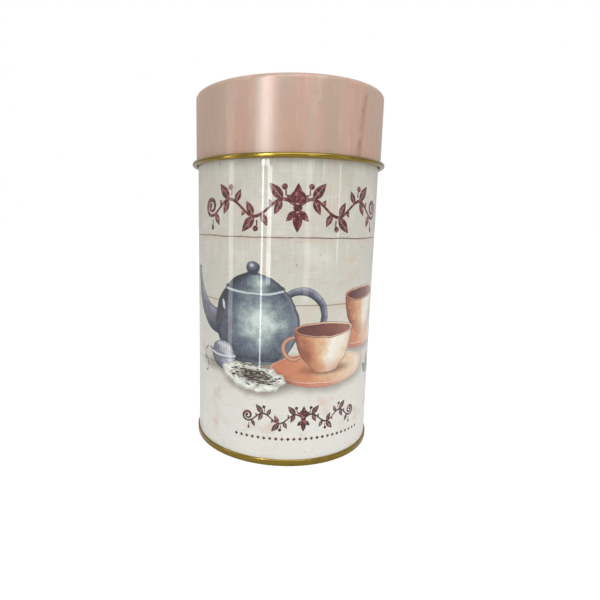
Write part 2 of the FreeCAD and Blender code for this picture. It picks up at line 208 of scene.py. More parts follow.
def turned(name, outline):
    """A piece turned about Z: its outline is drawn point by point, spun, and sewn up."""
    choose_nothing()
    bpy.ops.mesh.primitive_plane_add(size=MM, location=(0, 0, 0))
    piece = bpy.context.active_object
    piece.name = piece.data.name = name
    bpy.ops.object.mode_set(mode="EDIT")
    bpy.ops.mesh.select_all(action="SELECT")
    bpy.ops.mesh.merge(type="CENTER")
    bpy.ops.transform.translate(value=(outline[0].x, 0, outline[0].y))
    meets_axis = outline[0].x < MERGE and outline[-1].x < MERGE
    last = outline[0]
    for point in outline[1:] + ([] if meets_axis else outline[:1]):
        step = (point.x - last.x, 0, point.y - last.y)
        bpy.ops.mesh.extrude_region_move(TRANSFORM_OT_translate={"value": step})
        last = point
    bpy.ops.mesh.select_all(action="SELECT")
    bpy.ops.mesh.spin(steps=TURN_STEPS, angle=math.tau, center=(0, 0, 0), axis=(0, 0, 1))
    bpy.ops.mesh.select_all(action="SELECT")
    bpy.ops.mesh.remove_doubles(threshold=MERGE)
    bpy.ops.mesh.dissolve_degenerate(threshold=MERGE / 10)
    bpy.ops.mesh.select_all(action="SELECT")
    bpy.ops.mesh.normals_make_consistent(inside=False)
    bpy.ops.object.mode_set(mode="OBJECT")
    bpy.ops.object.shade_smooth_by_angle(angle=CREASE)
    return piece


def faces_out(face):
    """Whether a face looks away from the axis."""
    return face.normal.to_2d().dot(face.center.to_2d()) > 0


def from_axis(face):
    return face.center.to_2d().length


def coat(piece, materials, which=lambda face: 0):
    """Gives a piece its materials, each face the one that which() picks by place."""
    piece.data.materials.clear()
    for material in materials:
        piece.data.materials.append(material)
    for face in piece.data.polygons:
        face.material_index = which(face)


def settle(piece, body, slot, *nodes):
    """Puts a finished piece on its body, in place of its CAD nodes."""
    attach(piece, body)
    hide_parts(*nodes)


def pick(mesh, kind, test):
    """In edit mode, selects only the faces, edges or points whose place passes the test."""
    bpy.ops.mesh.select_mode(type=kind)
    bpy.ops.mesh.select_all(action="DESELECT")
    bpy.ops.object.mode_set(mode="OBJECT")
    for part in mesh.polygons if kind == "FACE" else mesh.vertices:
        part.select = test(part)
    bpy.ops.object.mode_set(mode="EDIT")


# ---------------------------------------------------------------- node trees


class Value:
    """A socket in a node tree, which arithmetic turns into Math nodes."""

    def __init__(self, tree, socket):
        self.tree, self.socket = tree, socket

    def math(self, operation, *others):
        node = self.tree.nodes.new("ShaderNodeMath")
        node.operation = operation
        for place, value in enumerate((self, *others)):
            put(self.tree, node.inputs[place], value)
        return Value(self.tree, node.outputs[0])

    def __add__(self, other):
        return self.math("ADD", other)

    def __sub__(self, other):
        return self.math("SUBTRACT", other)

    def __mul__(self, other):
        return self.math("MULTIPLY", other)

    def __truediv__(self, other):
        return self.math("DIVIDE", other)

    def __neg__(self):
        return self.math("MULTIPLY", -1.0)

    def abs(self):
        return self.math("ABSOLUTE")

    def min(self, other):
        return self.math("MINIMUM", other)

    def max(self, other):
        return self.math("MAXIMUM", other)

    def rise(self, low, high):
        """0 below low, 1 above high and smooth between; the other way round if high is below low."""
        node = self.tree.nodes.new("ShaderNodeMapRange")
        node.interpolation_type = "SMOOTHSTEP"
        put(self.tree, node.inputs["Value"], self)
        put(self.tree, node.inputs["From Min"], low)
        put(self.tree, node.inputs["From Max"], high)
        return Value(self.tree, node.outputs["Result"])

    def scaled(self, low, high):
        """0 to 1 stretched to low to high."""
        return self * (high - low) + low


def put(tree, socket, value):
    """Links a Value to a socket, or sets the socket to a plain number or colour."""
    if isinstance(value, Value):
        tree.links.new(value.socket, socket)
    elif socket.type == "RGBA":
        socket.default_value = (*value, 1)
    else:
        socket.default_value = value


def add(tree, kind, inputs=None, output=0, **settings):
    """Adds a node with its settings and inputs, and returns one of its outputs as a Value."""
    node = tree.nodes.new(kind)
    for name, setting in settings.items():
        setattr(node, name, setting)
    for name, value in (inputs or {}).items():
        put(tree, node.inputs[name], value)
    return Value(tree, node.outputs[output])


def blend(tree, below, above, mask, mode="MIX"):
    """Lays one colour over another by a mask."""
    node = tree.nodes.new("ShaderNodeMix")
    node.data_type, node.blend_type = "RGBA", mode
    factor, a, b = (s for s in node.inputs if s.enabled)
    for socket, value in ((factor, mask), (a, below), (b, above)):
        put(tree, socket, value)
    return Value(tree, next(s for s in node.outputs if s.enabled))


def vector(tree, x=0.0, y=0.0, z=0.0):
    return add(tree, "ShaderNodeCombineXYZ", {"X": x, "Y": y, "Z": z})


def stretched(tree, place, scale, rotation=(0, 0, 0), location=(0, 0, 0)):
    """A place turned and scaled, so that a pattern on it is drawn out."""
    inputs = {"Vector": place, "Location": location, "Rotation": rotation, "Scale": scale}
    return add(tree, "ShaderNodeMapping", inputs)


def noise(tree, place, scale, detail=3.0, roughness=0.55):
    inputs = {"Vector": place, "Scale": scale, "Detail": detail, "Roughness": roughness}
    return add(tree, "ShaderNodeTexNoise", inputs, output="Fac")


def ramp(tree, value, stops):
    """A colour by value: stops are (place, colour)."""
    node = tree.nodes.new("ShaderNodeValToRGB")
    put(tree, node.inputs["Fac"], value)
    points = node.color_ramp.elements
    while len(points) < len(stops):
        points.new(0.5)
    for point, (place, colour) in zip(points, stops):
        point.position, point.color = place, (*colour, 1)
    return Value(tree, node.outputs["Color"])


def curve(tree, value, points):
    """A smooth curve through points from (0, ...) to (1, ...)."""
    node = tree.nodes.new("ShaderNodeFloatCurve")
    line = node.mapping.curves[0]
    line.points[0].location, line.points[-1].location = points[0], points[-1]
    for point in points[1:-1]:
        line.points.new(*point)
    node.mapping.update()
    put(tree, node.inputs["Value"], value)
    return Value(tree, node.outputs["Value"])


def group(name, inputs, outputs, draw):
    """A shader node group with named sockets, made once: draw(tree, inputs) returns its outputs by name."""
    made = bpy.data.node_groups.get(name)
    if made:
        return made
    made = bpy.data.node_groups.new(name, "ShaderNodeTree")
    for label, default in inputs.items():
        kind = "NodeSocketFloat" if isinstance(default, float) else "NodeSocketColor"
        socket = made.interface.new_socket(label, in_out="INPUT", socket_type=kind)
        socket.default_value = default if isinstance(default, float) else (*default, 1)
    for label, kind in outputs.items():
        made.interface.new_socket(label, in_out="OUTPUT", socket_type=f"NodeSocket{kind}")
    entry, leave = made.nodes.new("NodeGroupInput"), made.nodes.new("NodeGroupOutput")
    given = {label: Value(made, entry.outputs[label]) for label in inputs}
    for label, value in draw(made, given).items():
        put(made, leave.inputs[label], value)
    return made


def use(tree, made, **inputs):
    """Places a group and returns its outputs by name. Half_Width is written for the socket Half Width."""
    node = tree.nodes.new("ShaderNodeGroup")
    node.node_tree = made
    for name, value in inputs.items():
        put(tree, node.inputs[name.replace("_", " ")], value)
    return {socket.name: Value(tree, socket) for socket in node.outputs}


# ---------------------------------------------------------------- shared effects


def round_place():
    """Where a point is on a round piece, in mm: its arc round it from the front, and its height."""

    def draw(tree, given):
        parts = tree.nodes.new("ShaderNodeSeparateXYZ")
        put(tree, parts.inputs[0], add(tree, "ShaderNodeTexCoord", output="Object"))
        x, y, z = (Value(tree, socket) for socket in parts.outputs)
        turn = x.math("ARCTAN2", -y)
        return {"Arc": turn * given["Radius"], "Height": z * (1 / MM)}

    return group("round place", {"Radius": 37.0}, {"Arc": "Float", "Height": "Float"}, draw)


def handling():
    """Marks of use: broad smears of fingers, and fine scratches, each 0 to 1."""

    def draw(tree, given):
        where = add(tree, "ShaderNodeTexCoord", output="Object")
        smear = noise(tree, where, 38.0, 4.0, 0.6).rise(0.42, 0.72)
        one_way, other_way = (
            noise(tree, stretched(tree, where, scale, rotation), 130.0, 2.0, 0.5)
            for rotation, scale in (((0.5, 0.9, 0.3), (1, 14, 1)), ((1.9, 0.2, 1.1), (14, 1, 1)))
        )
        scratch = one_way.max(other_way).rise(0.7, 0.78)
        return {"Smear": smear * given["Smears"], "Scratch": scratch * given["Scratches"]}

    inputs = {"Smears": 1.0, "Scratches": 1.0}
    return group("handling marks", inputs, {"Smear": "Float", "Scratch": "Float"}, draw)


def rolled():
    """The fine lines that rolling leaves in plate, -1 to 1, along the way that it ran."""

    def draw(tree, given):
        where = add(tree, "ShaderNodeTexCoord", output="Object")
        lines = stretched(tree, where, (30, 1, 1))
        fine = noise(tree, lines, 900.0 / 30, 6.0, 0.7)
        return {"Lines": (fine - 0.5) * 2.0 * given["Depth"]}

    return group("rolled lines", {"Depth": 1.0}, {"Lines": "Float"}, draw)


def peel():
    """The faint unevenness of a baked finish, in mm of height: orange peel, and slow waves of the sheet."""

    def draw(tree, given):
        where = add(tree, "ShaderNodeTexCoord", output="Object")
        pebbles = noise(tree, where, 900.0, 2.0, 0.5) * given["Pebbles"]
        flat = stretched(tree, where, (1, 1, 0.25))
        waves = noise(tree, flat, 90.0, 1.0, 0.4) * given["Waves"]
        return {"Height": pebbles + waves}

    return group("enamel peel", {"Pebbles": 1.0, "Waves": 1.0}, {"Height": "Float"}, draw)


def surface(name, **values):
    """A new material: its tree, its Principled shader, and plain values set on that shader."""
    material = bpy.data.materials.new(name)
    material.use_nodes = True
    tree = material.node_tree
    shader = next(node for node in tree.nodes if node.type == "BSDF_PRINCIPLED")
    for label, value in values.items():
        put(tree, shader.inputs[label.replace("_", " ")], value)
    return material, tree, shader


def raised(tree, shader, height, strength=0.3):
    """Feeds a height in mm to the shader's normal."""
    bump = tree.nodes.new("ShaderNodeBump")
    bump.inputs["Strength"].default_value = strength
    bump.inputs["Distance"].default_value = MM
    put(tree, bump.inputs["Height"], height)
    tree.links.new(bump.outputs["Normal"], shader.inputs["Normal"])


# ---------------------------------------------------------------- the printer's brushes


def shape_group(name, sizes, outputs, draw):
    """A group that draws one printed shape at a place X, Y: all its sockets are plain numbers."""
    inputs = {size: 0.1 for size in ("X", "Y", *sizes)}
    return group(name, inputs, {label: "Float" for label in outputs}, draw)


def oval():
    """An ellipse: its mask, the place in it from -1 to 1 each way, and its reach, 1 at the edge."""

    def draw(tree, given):
        x, y = given["X"] - given["Centre X"], given["Y"] - given["Centre Y"]
        across = (x * given["Cosine"] + y * given["Sine"]) / given["Half Width"]
        up = (y * given["Cosine"] - x * given["Sine"]) / given["Half Height"]
        reach = (across * across + up * up).math("SQRT")
        mask = reach.rise(given["Outer"], given["Inner"])
        return {"Mask": mask, "Across": across, "Up": up, "Reach": reach}

    sizes = ("Centre X", "Centre Y", "Half Width", "Half Height", "Cosine", "Sine", "Outer", "Inner")
    return shape_group("oval", sizes, ("Mask", "Across", "Up", "Reach"), draw)


def pen():
    """A stroke along an arc that swells in its middle: its mask, how far along it is, and how far across."""

    def draw(tree, given):
        x, y = given["X"] - given["Centre X"], given["Y"] - given["Centre Y"]
        around = (y.math("ARCTAN2", x) - given["Start"]).math("WRAP", math.tau, 0.0)
        along = around / given["Sweep"]
        half = (along * math.pi).math("SINE") * given["Swell"] + along * given["Taper"] + given["First"]
        across = ((x * x + y * y).math("SQRT") - given["Radius"]) / half.max(0.02)
        mask = across.abs().rise(given["Outer"], given["Inner"]) * along.math("LESS_THAN", 1.0)
        return {"Mask": mask, "Along": along, "Across": across}

    sizes = ("Centre X", "Centre Y", "Radius", "Start", "Sweep", "First", "Taper", "Swell", "Outer", "Inner")
    return shape_group("pen arc", sizes, ("Mask", "Along", "Across"), draw)


def leaf():
    """A pointed leaf from its foot, turned by an angle: its mask and its vein."""

    def draw(tree, given):
        x, y = given["X"] - given["Foot X"], given["Y"] - given["Foot Y"]
        along = (x * given["Cosine"] + y * given["Sine"]) / given["Length"]
        across = (y * given["Cosine"] - x * given["Sine"]).abs()
        bulge = (along.max(0.0).min(1.0).math("POWER", 0.8) * math.pi).math("SINE")
        inside = (across - bulge * given["Half Width"]).rise(0.1, -0.1)
        mask = inside * along.rise(0.0, 0.03) * along.rise(1.0, 0.97)
        return {"Mask": mask, "Vein": across.rise(0.16, 0.04) * along.rise(0.95, 0.6)}

    sizes = ("Foot X", "Foot Y", "Length", "Half Width", "Cosine", "Sine")
    return shape_group("leaf", sizes, ("Mask", "Vein"), draw)


class Brush:
    """Paints on one picture in a node tree: places are in mm of arc and height."""

    def __init__(self, tree, x, y, ground):
        self.tree, self.x, self.y, self.picture = tree, x, y, ground
        self.layers = 0

    def lay(self, colour, mask):
        self.picture = blend(self.tree, self.picture, colour, mask)
        self.layers += 1
        if self.layers % 3 == 0:
            self.wait()

    def wash(self, value, stops, mask):
        """Lays a run of colours that a value picks from."""
        self.lay(ramp(self.tree, value, stops), mask)

    def wait(self):
        """Makes what is painted next wait for the layers below, so that few masks are held at a time."""
        parts = self.tree.nodes.new("ShaderNodeSeparateColor")
        put(self.tree, parts.inputs[0], self.picture)
        red = Value(self.tree, parts.outputs[0])
        nothing = red - red
        self.x, self.y = self.x + nothing, self.y + nothing

    def darken(self, mask, strength):
        """Multiplies the picture towards a shadow."""
        self.picture = blend(self.tree, self.picture, card(150, 138, 130), mask * strength, "MULTIPLY")

    def oval(self, centre, half_width, half_height, turn=0.0, edge=0.12):
        soft, turn = edge / min(half_width, half_height), math.radians(turn)
        return use(
            self.tree, oval(), X=self.x, Y=self.y, Centre_X=centre[0], Centre_Y=centre[1],
            Half_Width=half_width, Half_Height=half_height, Cosine=math.cos(turn), Sine=math.sin(turn),
            Outer=1 + soft, Inner=1 - soft,
        )

    def pen(self, centre, radius, start, sweep, first, last, swell=0.0, edge=0.1):
        soft = edge / ((first + last) / 2 + swell)
        return use(
            self.tree, pen(), X=self.x, Y=self.y, Centre_X=centre[0], Centre_Y=centre[1],
            Radius=radius, Start=math.radians(start), Sweep=math.radians(sweep),
            First=first, Taper=last - first, Swell=swell, Outer=1 + soft, Inner=1 - soft,
        )

    def leaf(self, foot, reach, half_width, turn):
        return use(
            self.tree, leaf(), X=self.x, Y=self.y, Foot_X=foot[0], Foot_Y=foot[1], Length=reach,
            Half_Width=half_width, Cosine=math.cos(math.radians(turn)), Sine=math.sin(math.radians(turn)),
        )

    def thrown(self, middle, low, high, widest, outline, edge=0.15):
        """A thrown pot's side view, its half width a smooth curve over its height: mask, across and up."""
        up = (self.y - low) / (high - low)
        half = curve(self.tree, up.max(0.0).min(1.0), outline) * widest
        across = (self.x - middle) / half
        mask = across.abs().rise(edge / widest + 1.0, -edge / widest + 1.0)
        inside = (self.y - low).rise(-edge, edge) * (self.y - high).rise(edge, -edge)
        return mask * inside, across, up


VINE_CELL = 10.25  # mm from one crest of the vine to the next
VINE_CRESTS = 3.5
VINE_RISE = 3.0


def vine():
    """A mirrored running vine about its middle, in mm: its mask."""

    def draw(tree, given):
        x = (given["Arc"] - given["Middle"]) / given["Scale"]
        y = (given["Height"] - given["Line"]) / given["Scale"]
        side = x.abs()
        end = VINE_CELL * VINE_CRESTS
        wave = (side * (math.pi / VINE_CELL)).math("SINE") * VINE_RISE
        stem = (y - wave).abs().rise(0.72, 0.5) * side.rise(end + 0.1, end - 0.1)
        cell = (side / VINE_CELL).math("FLOOR")
        flip = -(cell.math("MODULO", 2.0) * 2.0) + 1.0
        sprig = Brush(tree, side - cell * VINE_CELL - VINE_CELL / 2, y * flip, (0, 0, 0))
        ink = stem
        for foot, reach, half_width, turn in (
            ((0.2, 3.0), 7.4, 1.75, 50),
            ((-2.6, 2.0), 5.0, 1.25, 116),
            ((0.6, 2.8), 5.8, 1.35, -64),
            ((3.6, 1.6), 3.6, 0.95, 12),
        ):
            made = sprig.leaf(foot, reach, half_width, turn)
            ink = ink.max(made["Mask"] * (-made["Vein"] * 0.5 + 1.0))
        ink = ink.max(sprig.oval((-0.4, 7.3), 1.05, 1.05)["Mask"])
        ink = ink.max(sprig.pen((3.4, 5.4), 4.3, 150, 45, 0.22, 0.3)["Mask"])
        ink = ink * side.rise(end + 0.1, end - 0.1)
        scroll = Brush(tree, side - end, y, (0, 0, 0))
        for centre, radius, start, sweep, first, last in (
            ((0.0, 0.0), VINE_RISE, -90, 180, 0.6, 0.85),
            ((0.0, 0.9), 2.1, 90, 180, 0.85, 0.6),
            ((0.0, 0.2), 1.4, 270, 150, 0.6, 0.4),
        ):
            ink = ink.max(scroll.pen(centre, radius, start, sweep, first, last)["Mask"])
        ink = ink.max(scroll.oval((0.6, 0.9), 1.0, 1.0)["Mask"])
        bud = Brush(tree, side, y.abs(), (0, 0, 0))
        ink = ink.max(bud.leaf((0.0, 1.4), 7.2, 1.7, 90)["Mask"])
        ink = ink.max(bud.leaf((0.5, 1.0), 5.2, 1.3, 46)["Mask"])
        ink = ink.max(bud.oval((0.0, 0.0), 1.6, 1.3)["Mask"])
        return {"Ink": ink}

    sizes = {"Arc": 0.0, "Height": 0.0, "Middle": 0.0, "Line": 0.0, "Scale": 1.0}
    return group("running vine", sizes, {"Ink": "Float"}, draw)


# ---------------------------------------------------------------- the printed picture


def draw_boards(tree, art, flat, colours):
    """Whitewashed boards above a paler table top, with their joints, grain, stains and small marks."""
    x, y = art.x, art.y
    art.picture = blend(tree, tuple(colours.board), tuple(colours.board_low), y.rise(72.0, 8.0))
    cloudy = noise(tree, flat, 0.07, 5.0, 0.62)
    stained = noise(tree, vector(tree, y, x), 0.09, 5.0, 0.6)
    grain = noise(tree, stretched(tree, flat, (0.1, 1.6, 1)), 1.5, 6.0, 0.7)
    dragged = noise(tree, stretched(tree, flat, (1.6, 0.07, 1)), 0.8, 4.0, 0.6)
    for colour, mask in (
        (card(240, 237, 228), cloudy.rise(0.5, 0.72) * 0.55),
        (card(186, 184, 164), cloudy.rise(0.47, 0.25) * y.rise(20.0, 60.0) * 0.5),
        (card(220, 196, 176), stained.rise(0.52, 0.7) * 0.6),
        (card(150, 138, 116), grain.rise(0.54, 0.8) * 0.6),
        (card(248, 247, 242), grain.rise(0.46, 0.24) * 0.5),
        (card(236, 235, 230), dragged.rise(0.5, 0.75) * y.rise(50, 90) * 0.6),
        (card(176, 170, 150), dragged.rise(0.46, 0.26) * y.rise(80, 110) * 0.35),
    ):
        art.picture = blend(tree, art.picture, colour, mask)
    wander = (noise(tree, vector(tree, x), 0.05, 2.0) - 0.5) * 1.6
    for height, half, strength in ((87.0, 0.15, 0.9), (62.6, 0.12, 0.7)):
        off = y - height + wander
        worn = noise(tree, flat, 0.5, 4.0).rise(0.2, 0.5).scaled(0.45, 1.0)
        rust = off.rise(-3.2, -0.2) * off.rise(1.2, 0.0) * cloudy.rise(0.4, 0.6)
        art.lay(card(212, 176, 150), rust * 0.4)
        art.lay(tuple(colours.board_line), off.abs().rise(half * 2.2, half * 0.6) * worn * strength)
    for foot, slope in ((38.5, 0.035), (47.0, -0.34)):
        crack = (y - x * slope - foot + wander).abs().rise(0.4, 0.1)
        art.lay(card(150, 132, 118), crack * x.rise(-24.0, -34.0) * x.rise(-70.0, -60.0) * 0.6)
    specks = add(tree, "ShaderNodeTexVoronoi", {"Vector": flat, "Scale": 0.2}, output="Distance")
    art.lay(card(110, 88, 76), specks.rise(0.09, 0.04) * noise(tree, flat, 2.5, 3.0).rise(0.4, 0.6) * 0.8)


def draw_pot(art, mottle, fine, colours):
    """A round slate-grey teapot, lit from the right, with cloudy brushwork."""
    middle = -11.5
    dark, slate, pale = card(44, 50, 64), card(84, 94, 110), card(214, 224, 220)
    grey = tuple(colours.pewter)
    stops = [(0.04, dark), (0.26, slate), (0.46, grey), (0.64, card(162, 178, 176)), (0.86, pale)]
    art.darken(art.oval((-9.0, 40.6), 19.0, 3.0, edge=2.8)["Mask"], 0.9)
    handle = art.pen((6.5, 59.0), 8.8, -98, 240, 1.05, 1.3, 0.35)
    light = handle["Across"] * 0.36 + 0.34 + (mottle - 0.5) * 0.8
    rod = [(0.05, dark), (0.35, card(98, 100, 116)), (0.6, card(150, 152, 166)), (0.9, card(206, 208, 214))]
    art.wash(light, rod, handle["Mask"])
    art.lay(dark, handle["Mask"] * handle["Across"].abs().rise(0.72, 1.0) * 0.75)
    spout = art.pen((-22.5, 74.5), 21.0, 181, 88, 1.5, 5.6, 0.1)
    light = spout["Across"] * -0.3 + 0.3 + (mottle - 0.5) * 0.9
    art.wash(light, rod, spout["Mask"])
    art.lay(dark, spout["Mask"] * spout["Across"].abs().rise(0.7, 1.0) * 0.8)
    art.lay(card(30, 34, 42), art.oval((-43.4, 74.4), 1.9, 0.55, -8)["Mask"])

    foot = art.oval((middle, 41.2), 10.4, 1.6)
    art.wash(foot["Across"] * 0.4 + 0.4, [(0.1, dark), (0.8, card(120, 128, 134))], foot["Mask"])
    outline = [(0, 0.55), (0.07, 0.68), (0.22, 0.87), (0.42, 0.99)]
    outline += [(0.58, 0.99), (0.76, 0.91), (0.9, 0.76), (1.0, 0.62)]
    mask, across, up = art.thrown(middle, 41.0, 69.2, 17.4, outline)
    aside, over = (across - 0.16) * 0.85, (up - 0.52) * 1.55
    shade = -((aside * aside + over * over).math("SQRT") * 0.95) + 0.94
    tone = shade + (mottle - 0.5) * 0.95 + (fine - 0.5) * 0.3
    art.wash(tone, stops, mask)
    rust = mottle.rise(0.52, 0.36) * across.rise(-0.1, -0.8) * up.rise(0.85, 0.4)
    art.lay(card(112, 86, 84), rust * mask * 0.45)
    art.lay(card(150, 150, 166), mask * across.rise(0.82, 0.95) * across.rise(1.02, 0.94) * 0.5)
    art.lay(dark, mask * across.abs().rise(0.93, 1.0) * 0.85)
    seam = art.pen((middle, 141.0), 99.0, 264.2, 11.6, 0.32, 0.32)
    art.lay(card(44, 50, 58), seam["Mask"] * mask * 0.5)
    art.lay(card(236, 240, 240), art.oval((-24.4, 61.5), 0.55, 1.9, 14)["Mask"] * 0.8)

    art.lay(card(50, 58, 68), art.oval((middle, 68.7), 11.8, 2.3)["Mask"])
    art.lay(card(196, 208, 212), art.pen((middle, 108.5), 42.2, 254.3, 31.4, 0.42, 0.42)["Mask"])
    outline = [(0, 1.0), (0.25, 0.96), (0.6, 0.78), (0.86, 0.5), (1.0, 0.2)]
    dome, across, up = art.thrown(middle, 68.4, 73.9, 10.7, outline)
    base = art.oval((middle, 68.9), 10.7, 1.9)["Mask"]
    tone = -((across - 0.2).abs() * 0.75) - up * 0.25 + 0.8 + (mottle - 0.5) * 1.1 + (fine - 0.5) * 0.3
    art.wash(tone, stops, dome.max(base))
    art.lay(dark, dome.max(base) * up.rise(0.3, 0.0) * 0.45)
    art.lay(dark, art.oval((middle, 73.9), 2.3, 0.8)["Mask"] * 0.9)
    knob = art.oval((middle, 76.0), 2.6, 2.35)
    aside, over = knob["Across"] + 0.15, knob["Up"] - 0.35
    ball = (aside * aside + over * over).math("SQRT")
    shine = [(0.08, card(214, 220, 226)), (0.4, card(104, 112, 126)), (1.0, dark)]
    art.wash(ball, shine, knob["Mask"])


def draw_cup(art, mottle, fine, middle, low, high, half, colours):
    """A plain clay cup seen a little from above: its dark inside, lit side, rim and foot."""
    clay, brown = tuple(colours.clay), card(122, 68, 54)
    wash = [(0.02, card(150, 88, 64)), (0.2, clay), (0.38, card(232, 192, 150)), (0.54, card(255, 250, 238))]
    wash += [(0.78, card(246, 228, 204)), (1.0, card(190, 142, 114))]
    outline = [(0, 0.4), (0.08, 0.5), (0.3, 0.74), (0.6, 0.91), (1.0, 1.0)]
    mask, across, up = art.thrown(middle, low, high, half, outline)
    foot = art.oval((middle, low + 0.2), half * 0.42, half * 0.1)["Mask"]
    tone = across * 0.44 + 0.44 + (mottle - 0.5) * 0.55 + (fine - 0.5) * 0.2
    art.wash(tone, wash, mask.max(foot))
    art.lay(card(206, 150, 116), mask.max(foot) * up.rise(0.35, 0.0) * 0.6)
    art.lay(brown, mask * across.abs().rise(0.92, 1.0) * 0.75)
    art.lay(card(150, 96, 72), mask * up.rise(0.84, 0.98) * 0.5)
    deep = half * 0.23
    art.lay(brown, art.oval((middle, high), half + 0.1, deep + 0.12)["Mask"])
    rim = art.oval((middle, high + 0.05), half - 0.15, deep - 0.12)
    lip = [(0.0, card(206, 140, 108)), (0.7, card(246, 222, 196))]
    art.wash(rim["Across"] * 0.5 + 0.5, lip, rim["Mask"])
    inside = art.oval((middle, high - 0.05), half - 0.75, deep - 0.5)
    dusk = inside["Across"] * 0.35 + 0.5 + (mottle - 0.5) * 0.6 + (fine - 0.5) * 0.3
    hollow = [(0.1, card(84, 42, 40)), (0.55, card(128, 74, 64)), (0.95, card(176, 122, 102))]
    art.wash(dusk, hollow, inside["Mask"])


def draw_saucer(art, mottle, fine, centre, half):
    """A saucer: its well, its turned-up rim, and the shadow under it."""
    x, y = centre
    brown = card(150, 84, 66)
    art.darken(art.oval((x, y - 2.6), half * 1.02, half * 0.31, edge=2.6)["Mask"], 0.8)
    under = art.oval((x, y - 1.5), half * 0.97, half * 0.29)
    light = under["Across"] * 0.42 + 0.5 + (mottle - 0.5) * 0.5
    side = [(0.1, card(176, 100, 82)), (0.5, card(216, 146, 122)), (0.9, card(240, 208, 184))]
    art.wash(light, side, under["Mask"])
    art.lay(brown, under["Mask"] * under["Reach"].rise(0.96, 1.0) * 0.6)
    top = art.oval((x, y), half, half * 0.29)
    rim = [(0.1, card(226, 160, 130)), (0.9, card(250, 228, 204))]
    art.wash(top["Across"] * 0.5 + 0.5, rim, top["Mask"])
    well = art.oval((x, y + 0.05), half - 0.7, half * 0.29 - 0.4)
    tone = well["Across"] * 0.42 + 0.48 + (mottle - 0.5) * 0.7 + (fine - 0.5) * 0.25
    dish = [(0.0, card(196, 116, 84)), (0.35, card(216, 146, 108))]
    dish += [(0.65, card(238, 204, 168)), (1.0, card(250, 238, 218))]
    art.wash(tone, dish, well["Mask"])
    art.lay(brown, well["Mask"] * well["Reach"].rise(0.95, 1.0) * 0.45)


def draw_infuser(art, flat, mottle):
    """A small steel infuser ball on its chain."""
    steel = [(0.0, card(58, 60, 70)), (0.35, card(132, 136, 150))]
    steel += [(0.6, card(226, 228, 234)), (1.0, card(96, 98, 108))]
    art.darken(art.oval((-27.0, 36.4), 9.5, 2.0, edge=1.8)["Mask"], 0.8)
    for centre, radius, start, sweep in (((-33.6, 39.2), 3.6, 40, 215), ((-37.4, 35.2), 3.0, -70, 160)):
        chain = art.pen(centre, radius, start, sweep, 0.4, 0.4)
        links = (chain["Along"] * (radius * 5.2)).math("SINE").rise(-0.6, 0.1)
        art.lay(card(108, 110, 120), chain["Mask"] * links.scaled(0.3, 1.0))
    ball = art.oval((-25.0, 41.2), 6.3, 5.7)
    tone = ball["Across"] * 0.3 + ball["Up"] * 0.24 + 0.44 + (mottle - 0.5) * 0.9
    art.wash(tone, steel, ball["Mask"])
    spots = {"Vector": flat, "Scale": 1.05, "Randomness": 0.08}
    holes = add(art.tree, "ShaderNodeTexVoronoi", spots, output="Distance")
    art.lay(card(44, 46, 56), holes.rise(0.36, 0.2) * ball["Mask"] * 0.6)
    art.lay(card(52, 54, 64), ball["Mask"] * ball["Reach"].rise(0.84, 1.0) * 0.75)
    band = art.pen((-25.0, 60.0), 19.4, 247.5, 45.0, 0.5, 0.5)
    art.lay(card(206, 210, 218), band["Mask"] * ball["Mask"])
    edge = art.pen((-25.0, 59.3), 19.4, 247.5, 45.0, 0.16, 0.16)
    art.lay(card(60, 62, 72), edge["Mask"] * ball["Mask"])


def draw_leaves(tree, art, flat, fine):
    """A heap of dry tea on a scrap of pale cloth."""
    ragged = (noise(tree, flat, 0.2, 2.0, 0.5) - 0.5) * 0.9
    cloth = art.oval((-11.4, 34.4), 13.0, 5.0, -5)
    art.darken(art.oval((-10.6, 33.3), 13.8, 5.6, -5, edge=1.6)["Mask"], 0.75)
    reach = cloth["Reach"] + ragged
    inside = reach.rise(1.03, 0.97)
    creases = noise(tree, stretched(tree, flat, (0.5, 1.1, 1)), 0.55, 4.0, 0.6)
    white = [(0.3, card(190, 190, 176)), (0.45, card(232, 234, 222)), (0.6, card(252, 252, 248))]
    art.wash(creases, white, inside)
    art.lay(card(172, 170, 152), inside * reach.rise(0.84, 1.0) * 0.7)
    heap = art.oval((-10.8, 35.3), 10.4, 4.2, -6)
    crumb = [(0.0, card(22, 16, 14)), (0.4, card(64, 42, 32))]
    crumb += [(0.7, card(46, 46, 30)), (1.0, card(124, 98, 72))]
    shadow = heap["Reach"].rise(0.95, 0.35) * inside * (creases.rise(0.38, 0.56) * 0.4 + 0.5)
    art.lay(card(92, 74, 56), shadow)
    for turn, start in ((0.5, 3.0), (-0.7, 11.0), (1.5, 23.0)):
        lie = stretched(tree, flat, (0.5, 1.7, 1), (0, 0, turn), (start, start, 0))
        shreds = tree.nodes.new("ShaderNodeTexVoronoi")
        shreds.inputs["Scale"].default_value = 1.0
        put(tree, shreds.inputs["Vector"], lie)
        parts = tree.nodes.new("ShaderNodeSeparateColor")
        tree.links.new(shreds.outputs["Color"], parts.inputs[0])
        chance, tint = Value(tree, parts.outputs[0]), Value(tree, parts.outputs[1])
        shape = Value(tree, shreds.outputs["Distance"]).rise(0.5, 0.42)
        dense = -(heap["Reach"] * 1.3) + 1.4
        shown = shape * (chance - dense).rise(0.05, -0.05) * inside
        art.wash(tint * 0.8 + fine * 0.2, crumb, shown)


